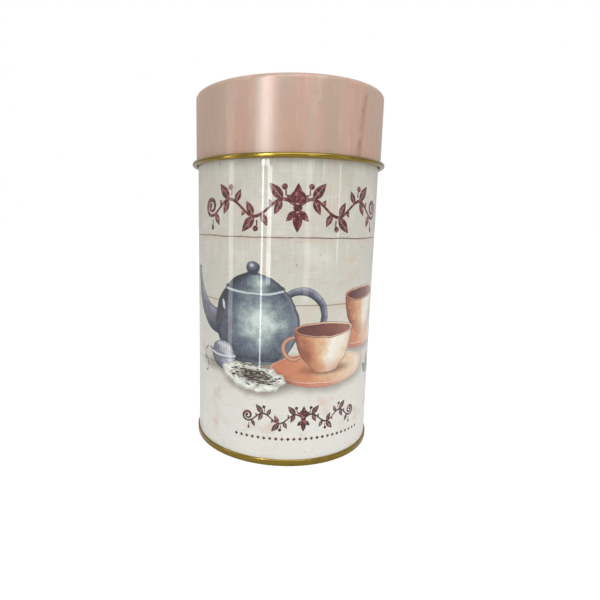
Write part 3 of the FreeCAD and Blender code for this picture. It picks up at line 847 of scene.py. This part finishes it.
def draw_sprig(art, fine, foot):
    """Three green tea leaves on a stalk."""
    x, y = foot
    green = [(0.3, card(74, 88, 58)), (0.55, card(120, 134, 92)), (0.75, card(172, 180, 134))]
    for reach, half_width, turn in ((9.5, 2.1, 88), (8.0, 1.9, 34), (7.4, 1.8, 140)):
        made = art.leaf((x, y), reach, half_width, turn)
        art.wash(fine, green, made["Mask"])
        art.lay(card(196, 202, 160), made["Mask"] * made["Vein"] * 0.6)
    art.lay(card(96, 100, 66), art.pen((x + 6.0, y - 1.5), 6.2, 166, 40, 0.22, 0.35)["Mask"])


def worn_ink(tree, flat, ink, colour):
    """The colour of a rubbed ink, mottled towards pink, and the mask of what is left of it."""
    rubbed = noise(tree, flat, 0.7, 5.0, 0.7)
    shades = [(0.38, tuple(c * 0.4 for c in colour)), (0.5, colour)]
    shades += [(0.6, card(150, 82, 78)), (0.72, card(206, 168, 156))]
    return ramp(tree, rubbed, shades), ink * noise(tree, flat, 1.8, 3.0, 0.6).rise(0.76, 0.66)


def printed_picture():
    """Everything that is printed on the wall, by arc and height in mm."""
    colours = bpy.context.scene.caddy_colours

    def draw(tree, given):
        x, y = given["Arc"], given["Height"]
        flat = vector(tree, x, y)
        unsteady = {"Vector": flat, "Scale": 0.13, "Detail": 2.0}
        wobble = add(tree, "ShaderNodeTexNoise", unsteady, output="Color")
        parts = tree.nodes.new("ShaderNodeSeparateColor")
        put(tree, parts.inputs[0], wobble)
        art = Brush(tree, x, y, tuple(colours.board))
        mottle, fine = noise(tree, flat, 0.17, 6.0, 0.66), noise(tree, flat, 1.6, 3.0, 0.6)
        draw_boards(tree, art, flat, colours)
        art.x = x + (Value(tree, parts.outputs[0]) - 0.5) * 1.6
        art.y = y + (Value(tree, parts.outputs[1]) - 0.5) * 1.6
        draw_pot(art, mottle, fine, colours)
        draw_saucer(art, mottle, fine, (36.0, 49.6), 13.5)
        draw_cup(art, mottle, fine, 36.0, 50.6, 66.0, 11.4, colours)
        for foot in ((44.5, 31.5), (82.0, 36.0), (-80.0, 40.0), (-92.0, 27.0)):
            draw_sprig(art, fine, foot)
        draw_saucer(art, mottle, fine, (16.0, 38.8), 20.5)
        grip = art.pen((4.4, 46.4), 4.2, 62, 250, 0.55, 0.65, 0.25)
        loop = [(0.0, card(140, 82, 64)), (0.5, card(226, 172, 140)), (1.0, card(150, 94, 74))]
        art.wash(grip["Across"] * 0.5 + 0.5, loop, grip["Mask"])
        art.darken(art.oval((17.5, 38.0), 8.6, 1.7, edge=1.2)["Mask"], 1.0)
        draw_cup(art, mottle, fine, 16.6, 38.2, 53.4, 12.6, colours)
        draw_infuser(art, flat, mottle)
        draw_leaves(tree, art, flat, fine)
        for middle, line, scale, colour in (
            (4.0, 97.4, 1.0, colours.maroon),
            (8.6, 19.0, 0.6, colours.umber),
            (82.0, 97.4, 0.62, colours.maroon),
            (-78.0, 97.4, 0.62, colours.maroon),
        ):
            ink = use(tree, vine(), Arc=x, Height=y, Middle=middle, Line=line, Scale=scale)["Ink"]
            art.lay(*worn_ink(tree, flat, ink, tuple(colour)))
        beads = (x - 8.6).math("PINGPONG", 1.15)
        lozenge = (beads.math("SUBTRACT", 1.15).abs() + (y - 10.9).abs()).rise(0.85, 0.65)
        row = lozenge * (x - 8.6).abs().rise(27.4, 27.0)
        art.lay(*worn_ink(tree, flat, row, card(52, 38, 40)))
        return {"Colour": art.picture}

    return group("printed picture", {"Arc": 0.0, "Height": 0.0}, {"Colour": "Color"}, draw)


# ---------------------------------------------------------------- materials


def seam_arc():
    """How far round the wall from the front the side seam's groove lies, in mm."""
    sizes = bpy.context.scene.caddy_sizes
    aside = (sizes.fold_width / 2 - sizes.groove_width) / sizes.wall_radius
    return sizes.wall_radius / MM * (math.pi - math.asin(aside))


def printed_tin():
    """The printed wall: ink under clear stoving varnish."""
    varnish = {"Specular_IOR_Level": 0.25, "Coat_Roughness": 0.03, "Coat_IOR": 1.5}
    material, tree, shader = surface("printed tin", **varnish)
    place = use(tree, round_place(), Radius=37.0)
    picture = use(tree, printed_picture(), Arc=place["Arc"], Height=place["Height"])["Colour"]
    marks = use(tree, handling(), Smears=1.0, Scratches=0.5)
    colour = blend(tree, picture, card(236, 232, 224), marks["Scratch"] * 0.25)
    beside = place["Arc"] - seam_arc()
    colour = blend(tree, colour, card(222, 220, 214), beside.rise(0.2, 0.3) * beside.rise(1.7, 1.5) * 0.8)
    # A dark line is painted along the middle of the side seam's groove: painted shade in the groove.
    colour = blend(tree, colour, card(96, 88, 74), beside.abs().rise(0.42, 0.16) * 0.8)
    put(tree, shader.inputs["Base Color"], colour)
    put(tree, shader.inputs["Roughness"], marks["Smear"].scaled(0.42, 0.52) + marks["Scratch"] * 0.2)
    put(tree, shader.inputs["Coat Weight"], marks["Smear"].scaled(1.0, 0.8))
    height = use(tree, peel(), Pebbles=0.001, Waves=0.008)["Height"] - marks["Scratch"] * 0.001
    raised(tree, shader, height, 1.0)
    return material


def pink_enamel():
    """The slip lid's dusty pink enamel, streaked down its skirt, with a pebbled satin skin."""
    colours = bpy.context.scene.caddy_colours
    material, tree, shader = surface("pink enamel", IOR=1.65)
    place = use(tree, round_place(), Radius=38.0)
    where = add(tree, "ShaderNodeTexCoord", output="Object")
    solid = stretched(tree, where, (1 / MM, 1 / MM, 1 / MM))
    down = stretched(tree, solid, (1, 1, 0.12))
    streak = noise(tree, down, 0.11, 5.0, 0.6)
    pink, tan = tuple(colours.lid), tuple(colours.lid_streak)
    colour = blend(tree, pink, tan, streak.rise(0.44, 0.62) * 0.9)
    colour = blend(tree, colour, card(200, 152, 132), streak.rise(0.42, 0.28) * 0.8)
    pale = noise(tree, down, 0.5, 3.0, 0.5).rise(0.55, 0.8)
    colour = blend(tree, colour, card(216, 190, 178), pale * 0.5)
    dusty = noise(tree, solid, 0.35, 4.0, 0.6)
    colour = blend(tree, colour, card(184, 142, 126), dusty.rise(0.5, 0.75) * 0.35)
    lean = place["Arc"] + (place["Height"] - 128.0) * -0.12
    skirt = place["Height"].rise(139.5, 137.0)
    run = (lean - 29.0).abs().rise(2.2, 0.2) * noise(tree, solid, 0.3, 2.0).rise(0.2, 0.6)
    colour = blend(tree, colour, card(164, 116, 104), run * skirt * 0.7)
    marks = use(tree, handling(), Smears=1.0, Scratches=0.6)
    colour = blend(tree, colour, card(226, 206, 196), marks["Scratch"] * 0.3)
    fleck = add(tree, "ShaderNodeTexVoronoi", {"Vector": solid, "Scale": 0.2}, output="Distance")
    colour = blend(tree, colour, card(116, 84, 76), fleck.rise(0.055, 0.03) * 0.8)
    put(tree, shader.inputs["Base Color"], colour)
    put(tree, shader.inputs["Roughness"], marks["Smear"].scaled(0.28, 0.34) + marks["Scratch"] * 0.1)
    height = use(tree, peel(), Pebbles=0.008, Waves=0.02)["Height"] - marks["Scratch"] * 0.002
    raised(tree, shader, height, 1.0)
    return material


def metal(
    name, colour, low, high, worn, pebbles=0.003, waves=0.01, lines=0.0015, varnish=0.0, metallic=1.0
):
    """A metal skin: mottled colour, rolled lines, smears and scratches that show what is under it."""
    if name in bpy.data.materials:
        return bpy.data.materials[name]
    colour = tuple(getattr(bpy.context.scene.caddy_colours, colour))
    material, tree, shader = surface(name, Metallic=metallic, Coat_Roughness=0.12, Coat_Weight=varnish)
    where = add(tree, "ShaderNodeTexCoord", output="Object")
    marks = use(tree, handling(), Smears=1.0, Scratches=worn)
    mottle = noise(tree, where, 160.0, 4.0, 0.6)
    made = blend(tree, colour, tuple(c * 0.72 for c in colour), mottle.rise(0.48, 0.75) * 0.7)
    made = blend(tree, made, (0.6, 0.6, 0.58), marks["Scratch"] * 0.5)
    put(tree, shader.inputs["Base Color"], made)
    put(tree, shader.inputs["Roughness"], marks["Smear"].scaled(low, high) + marks["Scratch"] * 0.15)
    height = use(tree, peel(), Pebbles=pebbles, Waves=waves)["Height"] - marks["Scratch"] * 0.003
    raised(tree, shader, height + use(tree, rolled(), Depth=lines)["Lines"], 1.0)
    return material


# Its dark colour is partly painted shade, standing in for a dim room that the gold reflects.
def gold_lacquer():
    return metal("gold lacquer", "gold", 0.2, 0.32, 0.8, varnish=0.35)


# The same gold lacquer as the outside, made lighter and less metallic: painted light, so that the deep
# inside of the can and the lid does not go dark.
def inside_lacquer_painted_light():
    return metal("inside lacquer", "inside", 0.4, 0.5, 0.8, varnish=0.2, metallic=0.6)


def bare_tin():
    return metal("bare tinplate", "tin", 0.24, 0.4, 1.0, lines=0.004)


def knob_brass():
    return metal("turned brass", "brass", 0.12, 0.26, 1.0, waves=0.004)


def rivet_steel():
    return metal("rivet steel", "steel", 0.34, 0.5, 1.0, pebbles=0.008)


def seam_rubber():
    """The dark compound in the double seam."""
    material, tree, shader = surface("seam compound")
    where = add(tree, "ShaderNodeTexCoord", output="Object")
    black = [(0.3, card(28, 28, 30)), (0.7, card(52, 50, 50))]
    put(tree, shader.inputs["Base Color"], ramp(tree, noise(tree, where, 400.0), black))
    put(tree, shader.inputs["Roughness"], noise(tree, where, 700.0).scaled(0.6, 0.85))
    raised(tree, shader, noise(tree, where, 1500.0, 2.0) * 0.01, 1.0)
    return material


def studio_floor():
    """A plain pale floor with the least cloudiness, lit a little from below as a light table is."""
    material, tree, shader = surface("studio floor", Specular_IOR_Level=0.2, Emission_Strength=1.0)
    where = add(tree, "ShaderNodeTexCoord", output="Object")
    cloudy = noise(tree, where, 3.0, 3.0)
    pale = [(0.3, (0.8, 0.8, 0.8)), (0.7, (0.82, 0.82, 0.82))]
    put(tree, shader.inputs["Base Color"], ramp(tree, cloudy, pale))
    put(tree, shader.inputs["Roughness"], cloudy.scaled(0.55, 0.7))
    glow = add(tree, "ShaderNodeLightPath", output="Is Camera Ray") * FLOOR_GLOW
    white = add(tree, "ShaderNodeCombineColor", {"Red": glow, "Green": glow, "Blue": glow})
    put(tree, shader.inputs["Emission Color"], white)
    return material


# ---------------------------------------------------------------- operators


class CADDY_OT_wall(bpy.types.Operator):
    """Roll the printed wall, with its hook for the bottom and the fold and groove of its side seam"""

    bl_idname = "caddy.wall"
    bl_label = "Printed wall"

    def execute(self, context):
        s = context.scene.caddy_sizes
        hook_bend = s.end_sheet / 2 + s.seam_gap
        start = (WALL[1].x, WALL[0].z + hook_bend + s.wall_sheet + s.body_hook)
        moves = [("by", s.body_hook), ("right", hook_bend, 2), ("to", WALL[1].z)]
        piece = turned("printed_wall", formed(start, DOWN, s.wall_sheet, moves))
        self.fold(piece.data, s)
        above_hook = WALL[0].z + 3 * MM

        def side(face):
            return 0 if faces_out(face) and face.center.z > above_hook else 1

        coat(piece, [printed_tin(), inside_lacquer_painted_light()], side)
        settle(piece, "can", "printed_tinplate", "body_wall")
        return {"FINISHED"}

    def fold(self, mesh, s):
        """Cuts the side seam's edges into the back of the wall, presses its fold inwards and its groove."""
        half = s.fold_width / 2
        groove = [half - 2 * s.groove_width, half - s.groove_width, half]
        bpy.ops.object.mode_set(mode="EDIT")
        cuts = [((x, 0, 0), (1, 0, 0)) for x in (-half, *groove)]
        cuts += [((0, 0, z), (0, 0, 1)) for z in (s.fold_low, s.fold_high)]
        for place, normal in cuts:
            pick(mesh, "FACE", lambda face: face.center.y > 0 and abs(face.center.x) < 2 * half)
            bpy.ops.mesh.bisect(plane_co=place, plane_no=normal)
        inner = s.wall_radius - s.wall_sheet

        def in_fold(face):
            x, y, z = face.center
            return s.fold_low < z < s.fold_high and y > 0 and abs(x) < half and face.normal.y < -0.9

        pick(mesh, "FACE", in_fold)
        bpy.ops.mesh.extrude_region_move(TRANSFORM_OT_translate={"value": (0, -3 * s.wall_sheet, 0)})

        def in_groove(point):
            x, y, z = point.co
            between = s.fold_low + MERGE < z < s.fold_high - MERGE
            return between and abs(x - groove[1]) < 0.01 * MM and y > inner + s.wall_sheet / 2

        bpy.ops.mesh.select_all(action="DESELECT")
        pick(mesh, "VERT", in_groove)
        bpy.ops.transform.translate(value=(0, -s.groove_depth, 0))
        bpy.ops.mesh.select_all(action="SELECT")
        bpy.ops.mesh.remove_doubles(threshold=MERGE)
        bpy.ops.mesh.normals_make_consistent(inside=False)
        bpy.ops.object.mode_set(mode="OBJECT")
        bpy.ops.object.shade_smooth_by_angle(angle=CREASE)


class CADDY_OT_mouth_curl(bpy.types.Operator):
    """Curl the wall's top edge outwards round the mouth"""

    bl_idname = "caddy.mouth_curl"
    bl_label = "Mouth curl"

    def execute(self, context):
        s = context.scene.caddy_sizes
        start = (s.wall_radius, MOUTH[1].z - s.mouth_bend - s.wall_sheet)
        piece = turned("mouth_rim", formed(start, UP, s.wall_sheet, [("right", s.mouth_bend, 3)]))
        coat(piece, [gold_lacquer()])
        settle(piece, "can", "gold_lacquered_tinplate", "mouth_curl")
        return {"FINISHED"}


class CADDY_OT_bottom(bpy.types.Operator):
    """Press the bottom end and roll its edge round the wall's hook"""

    bl_idname = "caddy.bottom"
    bl_label = "Bottom end"

    def execute(self, context):
        s = context.scene.caddy_sizes
        groove_bend, groove_side, step_bend = 0.45 * MM, 0.35 * MM, 0.4 * MM
        chuck_wall = s.wall_radius - s.wall_sheet - s.seam_gap - s.end_sheet
        hook_bend = s.wall_sheet / 2 + s.seam_gap
        seam_far = FOOT[1].x - s.end_sheet
        outline = formed(
            (0, s.panel_height + 2 * step_bend + s.end_sheet), OUT, s.end_sheet,
            [
                ("to", s.panel_step), ("right", step_bend), ("left", step_bend),
                ("to", chuck_wall - 3 * groove_bend - s.end_sheet),
                ("left", groove_bend), ("by", groove_side), ("right", groove_bend, 2),
                ("to", s.seam_bend + s.end_sheet), ("left", s.seam_bend),
                ("to", seam_far - s.seam_bend), ("left", s.seam_bend),
                ("to", s.seam_height - hook_bend - s.end_sheet), ("left", hook_bend, 2), ("by", s.end_hook),
            ],
        )
        piece = turned("seamed_bottom", outline)

        def side(face):
            return 1 if face.normal.z > 0.01 and from_axis(face) < chuck_wall else 0

        coat(piece, [gold_lacquer(), inside_lacquer_painted_light()], side)
        settle(piece, "can", "gold_lacquered_tinplate", "bottom_end")
        coat(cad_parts["bottom_seam_compound"], [seam_rubber()])
        return {"FINISHED"}


class CADDY_OT_plug_lid(bpy.types.Operator):
    """Press the plug lid: its boss, its stiffening ring, its dish and its hemmed flange"""

    bl_idname = "caddy.plug_lid"
    bl_label = "Plug lid"

    def execute(self, context):
        s = context.scene.caddy_sizes
        hole, hem_bend, hem_run, play = 1.55 * MM, 0.05 * MM, 0.5 * MM, 0.1 * MM
        gauge = s.wall_sheet
        boss = PLUG[0].z + 2 * s.step_bend + gauge
        dish_radius = s.wall_radius - s.wall_sheet - play
        flange = PLUG[1].z - 2 * (gauge + hem_bend)
        outline = formed(
            (hole, boss), OUT, gauge,
            [
                ("to", s.boss_radius), ("right", s.step_bend), ("left", s.step_bend),
                ("to", s.ring_inner), ("left", s.step_bend), ("right", s.step_bend),
                ("to", s.ring_outer), ("right", s.step_bend), ("left", s.step_bend),
                ("to", dish_radius - s.plug_bend - gauge), ("left", s.plug_bend),
                ("to", flange - s.flange_bend), ("right", s.flange_bend),
                ("to", PLUG[1].x - gauge - hem_bend), ("left", hem_bend, 2), ("by", hem_run),
            ],
        )
        piece = turned("plug_lid", outline)
        coat(piece, [bare_tin()])
        settle(piece, "inner_lid", "bare_tinplate", "plug_lid_dish")
        return {"FINISHED"}


class CADDY_OT_knob(bpy.types.Operator):
    """Turn the knob, and the washer and rivet that hold it"""

    bl_idname = "caddy.knob"
    bl_label = "Knob, washer and rivet"

    def execute(self, context):
        for name, outline, material, slot, node in (
            ("knob", self.knob(), knob_brass(), "knob_brass", "plug_lid_knob"),
            ("washer", self.washer(), bare_tin(), "bare_tinplate", "knob_washer"),
            ("rivet", self.rivet(), rivet_steel(), "rivet_steel", "knob_rivet"),
        ):
            piece = turned(name, [Vector(point) for point in outline])
            coat(piece, [material])
            settle(piece, "inner_lid", slot, node)
        return {"FINISHED"}

    def knob(self):
        """From the blind end of the bore, down it and round the foot, the neck and the ball to the top."""
        foot, ball = KNOB[0].z, KNOB[1].x
        neck, cove, bore, ball_z = 2.5 * MM, 0.8 * MM, 1.52 * MM, KNOB[1].z - ball
        foot_radius, foot_top, foot_round = 4.3 * MM, foot + 1.1 * MM, 0.4 * MM
        return [
            (0, ball_z),
            (bore, ball_z),
            (bore, foot),
            (foot_radius, foot),
            *arc((foot_radius - foot_round, foot_top - foot_round), foot_round, 0, 90, 8),
            *arc((neck + cove, foot_top + cove), cove, -90, -180, 10),
            *arc((0, ball_z), ball, -math.degrees(math.acos(neck / ball)), 90, 40),
        ]

    def washer(self):
        hole, rim, bevel = 1.55 * MM, WASHER[1].x, 0.12 * MM
        low, high = WASHER[0].z, WASHER[1].z
        bevelled = [(rim - bevel, low), (rim, low + bevel), (rim, high - bevel), (rim - bevel, high)]
        return [(hole, low), *bevelled, (hole, high)]

    def rivet(self):
        low, high = RIVET[0].z, RIVET[1].z
        head, shank, edge, head_top = RIVET[1].x, 1.5 * MM, 0.6 * MM, low + 1.0 * MM
        rounded = arc((head - edge, low + edge), edge, -90, 0, 10)
        return [(0, low), *rounded, (head, head_top), (shank, head_top), (shank, high), (0, high)]


class CADDY_OT_slip_lid(bpy.types.Operator):
    """Draw the slip lid, and curl its hem"""

    bl_idname = "caddy.slip_lid"
    bl_label = "Slip lid"

    def execute(self, context):
        s = context.scene.caddy_sizes
        gauge, tip_bend = s.wall_sheet, 0.38 * MM
        inner = LID[1].x - gauge
        hem_top = HEM[0].z + s.lid_curl_bend + gauge
        moves = [("to", inner - s.lid_edge_bend), ("right", s.lid_edge_bend), ("to", hem_top)]
        shell = turned("slip_lid", formed((0, LID[1].z - gauge), OUT, gauge, moves))

        def side(face):
            on_top = face.normal.z > 0.01 and face.center.z > LID[1].z - 0.9 * s.lid_edge_bend
            on_skirt = from_axis(face) > LID[1].x - gauge / 2 and faces_out(face)
            return 0 if on_top or on_skirt else 1

        coat(shell, [pink_enamel(), inside_lacquer_painted_light()], side)
        settle(shell, "outer_lid", "pink_lacquered_tinplate", "slip_lid_shell")
        moves = [("left", s.lid_curl_bend, 3), ("left", tip_bend)]
        curl = turned("slip_lid_hem", formed((inner, hem_top), DOWN, gauge, moves))
        coat(curl, [gold_lacquer()])
        settle(curl, "outer_lid", "gold_lacquered_tinplate", "slip_lid_curl")
        return {"FINISHED"}


FLOOR_RADIUS = 6.0
FLOOR_GLOW = 0.54
USUAL_STRIP = 0.036 * 0.4  # m2
STRIPS = (  # name, degrees round from the front, distance, width, low and high ends, brightness
    ("front_strip", -19.0, 0.32, 0.028, 0.045, 0.15, 0.75),
    ("upper_strip", -24.5, 0.32, 0.055, 0.15, 0.45, 1.05),
    ("edge_strip", -25.5, 0.17, 0.0055, 0.003, 0.28, 1.25),
    ("left_strip", -64.0, 0.17, 0.018, 0.003, 0.28, 0.32),
    ("middle_strip", 25.0, 0.32, 0.034, 0.03, 0.43, 0.22),
    ("right_strip", 63.0, 0.32, 0.010, 0.06, 0.43, 0.4),
)
CAMERA_PLACE = (0, -0.20197, 0.09272)
CAMERA_PAN, CAMERA_PITCH, CAMERA_ROLL = -0.0557, 0.1695, 0.0166
CAMERA_LENS, CAMERA_SHIFT = 27.7, 0.069


class CADDY_OT_stage(bpy.types.Operator):
    """Lay the pale floor, hang the soft lights and set the camera"""

    bl_idname = "caddy.stage"
    bl_label = "Floor, lights and camera"

    def execute(self, context):
        look = context.scene.caddy_stage
        choose_nothing()
        bpy.ops.mesh.primitive_circle_add(vertices=128, radius=FLOOR_RADIUS, fill_type="NGON")
        floor = context.active_object
        floor.name = "studio_floor"
        coat(floor, [studio_floor()])
        self.room(context, look.room)
        self.softbox(
            "overhead_softbox", place=(0.12, -0.45, 0.75), aim=(0, 0, 0.07), size=(0.8, 0.8),
            power=look.key,
        )
        for name, turn, distance, width, low, high, brightness in STRIPS:
            angle = math.radians(turn)
            height = high - low
            place = (distance * math.sin(angle), -distance * math.cos(angle), low + height / 2)
            power = look.strip * brightness * width * height / USUAL_STRIP
            self.softbox(name, place, (0, 0, place[2]), (width, height), power, glossy_only=True)
        self.camera(context)
        context.scene.view_settings.view_transform = "Standard"
        return {"FINISHED"}

    def room(self, context, strength):
        """An even pale room, which the camera sees as white."""
        world = bpy.data.worlds.new("studio_room")
        context.scene.world = world
        world.use_nodes = True
        tree = world.node_tree
        tree.nodes.clear()
        where = tree.nodes.new("ShaderNodeTexCoord")
        parts = tree.nodes.new("ShaderNodeSeparateXYZ")
        tree.links.new(where.outputs["Generated"], parts.inputs[0])
        up = Value(tree, parts.outputs["Z"])
        light = up.rise(-0.2, 0.9).scaled(0.75, 1.35) * strength
        seen = add(tree, "ShaderNodeLightPath", output="Is Camera Ray")
        level = light.max(seen)
        sky = tree.nodes.new("ShaderNodeBackground")
        put(tree, sky.inputs["Strength"], level)
        sky.inputs["Color"].default_value = (1, 1, 1, 1)
        leave = tree.nodes.new("ShaderNodeOutputWorld")
        tree.links.new(sky.outputs[0], leave.inputs["Surface"])

    def softbox(self, name, place, aim, size, power, glossy_only=False):
        choose_nothing()
        bpy.ops.object.light_add(type="AREA", location=place)
        lamp = bpy.context.active_object
        lamp.name = name
        lamp.rotation_euler = (Vector(aim) - Vector(place)).to_track_quat("-Z", "Y").to_euler()
        lamp.data.shape = "RECTANGLE"
        lamp.data.size, lamp.data.size_y = size
        lamp.data.energy = power
        lamp.visible_diffuse = not glossy_only
        lamp.visible_camera = False

    def camera(self, context):
        """Stands the camera close in front, a little above the middle and tipped down."""
        level = math.cos(CAMERA_PITCH)
        ahead = Vector((math.sin(CAMERA_PAN) * level, math.cos(CAMERA_PAN) * level, -math.sin(CAMERA_PITCH)))
        flat_right = ahead.cross(Vector((0, 0, 1))).normalized()
        flat_above = flat_right.cross(ahead)
        cos, sin = math.cos(CAMERA_ROLL), math.sin(CAMERA_ROLL)
        right = flat_right * cos + flat_above * sin
        above = flat_above * cos - flat_right * sin
        choose_nothing()
        bpy.ops.object.camera_add(location=CAMERA_PLACE)
        camera = context.active_object
        camera.name = "front_camera"
        camera.rotation_euler = Matrix((right, above, -ahead)).transposed().to_euler()
        camera.data.sensor_width = 36
        camera.data.lens = CAMERA_LENS
        camera.data.shift_x = CAMERA_SHIFT
        camera.data.clip_start = 0.005
        context.scene.camera = camera


OPERATORS = (
    CADDY_OT_wall,
    CADDY_OT_mouth_curl,
    CADDY_OT_bottom,
    CADDY_OT_plug_lid,
    CADDY_OT_knob,
    CADDY_OT_slip_lid,
    CADDY_OT_stage,
)


class CADDY_PT_panel(bpy.types.Panel):
    """Lists the caddy's pieces, sizes and colours"""

    bl_idname = "CADDY_PT_panel"
    bl_label = "Tea Caddy"
    bl_space_type = "VIEW_3D"
    bl_region_type = "UI"
    bl_category = "Tea Caddy"

    def draw(self, context):
        for kind in OPERATORS:
            self.layout.operator(kind.bl_idname)
        for group_of in (context.scene.caddy_sizes, context.scene.caddy_colours, context.scene.caddy_stage):
            box = self.layout.box()
            for name in group_of.__annotations__:
                box.prop(group_of, name)


CLASSES = (CaddySizes, CaddyColours, CaddyStage, *OPERATORS, CADDY_PT_panel)


def register():
    for kind in CLASSES:
        bpy.utils.register_class(kind)
    bpy.types.Scene.caddy_sizes = bpy.props.PointerProperty(type=CaddySizes)
    bpy.types.Scene.caddy_colours = bpy.props.PointerProperty(type=CaddyColours)
    bpy.types.Scene.caddy_stage = bpy.props.PointerProperty(type=CaddyStage)


def unregister():
    for name in ("caddy_sizes", "caddy_colours", "caddy_stage"):
        delattr(bpy.types.Scene, name)
    for kind in reversed(CLASSES):
        bpy.utils.unregister_class(kind)


def main():
    register()
    for kind in OPERATORS:
        group_name, name = kind.bl_idname.split(".")
        getattr(getattr(bpy.ops, group_name), name)()


if __name__ == "__main__":
    main()
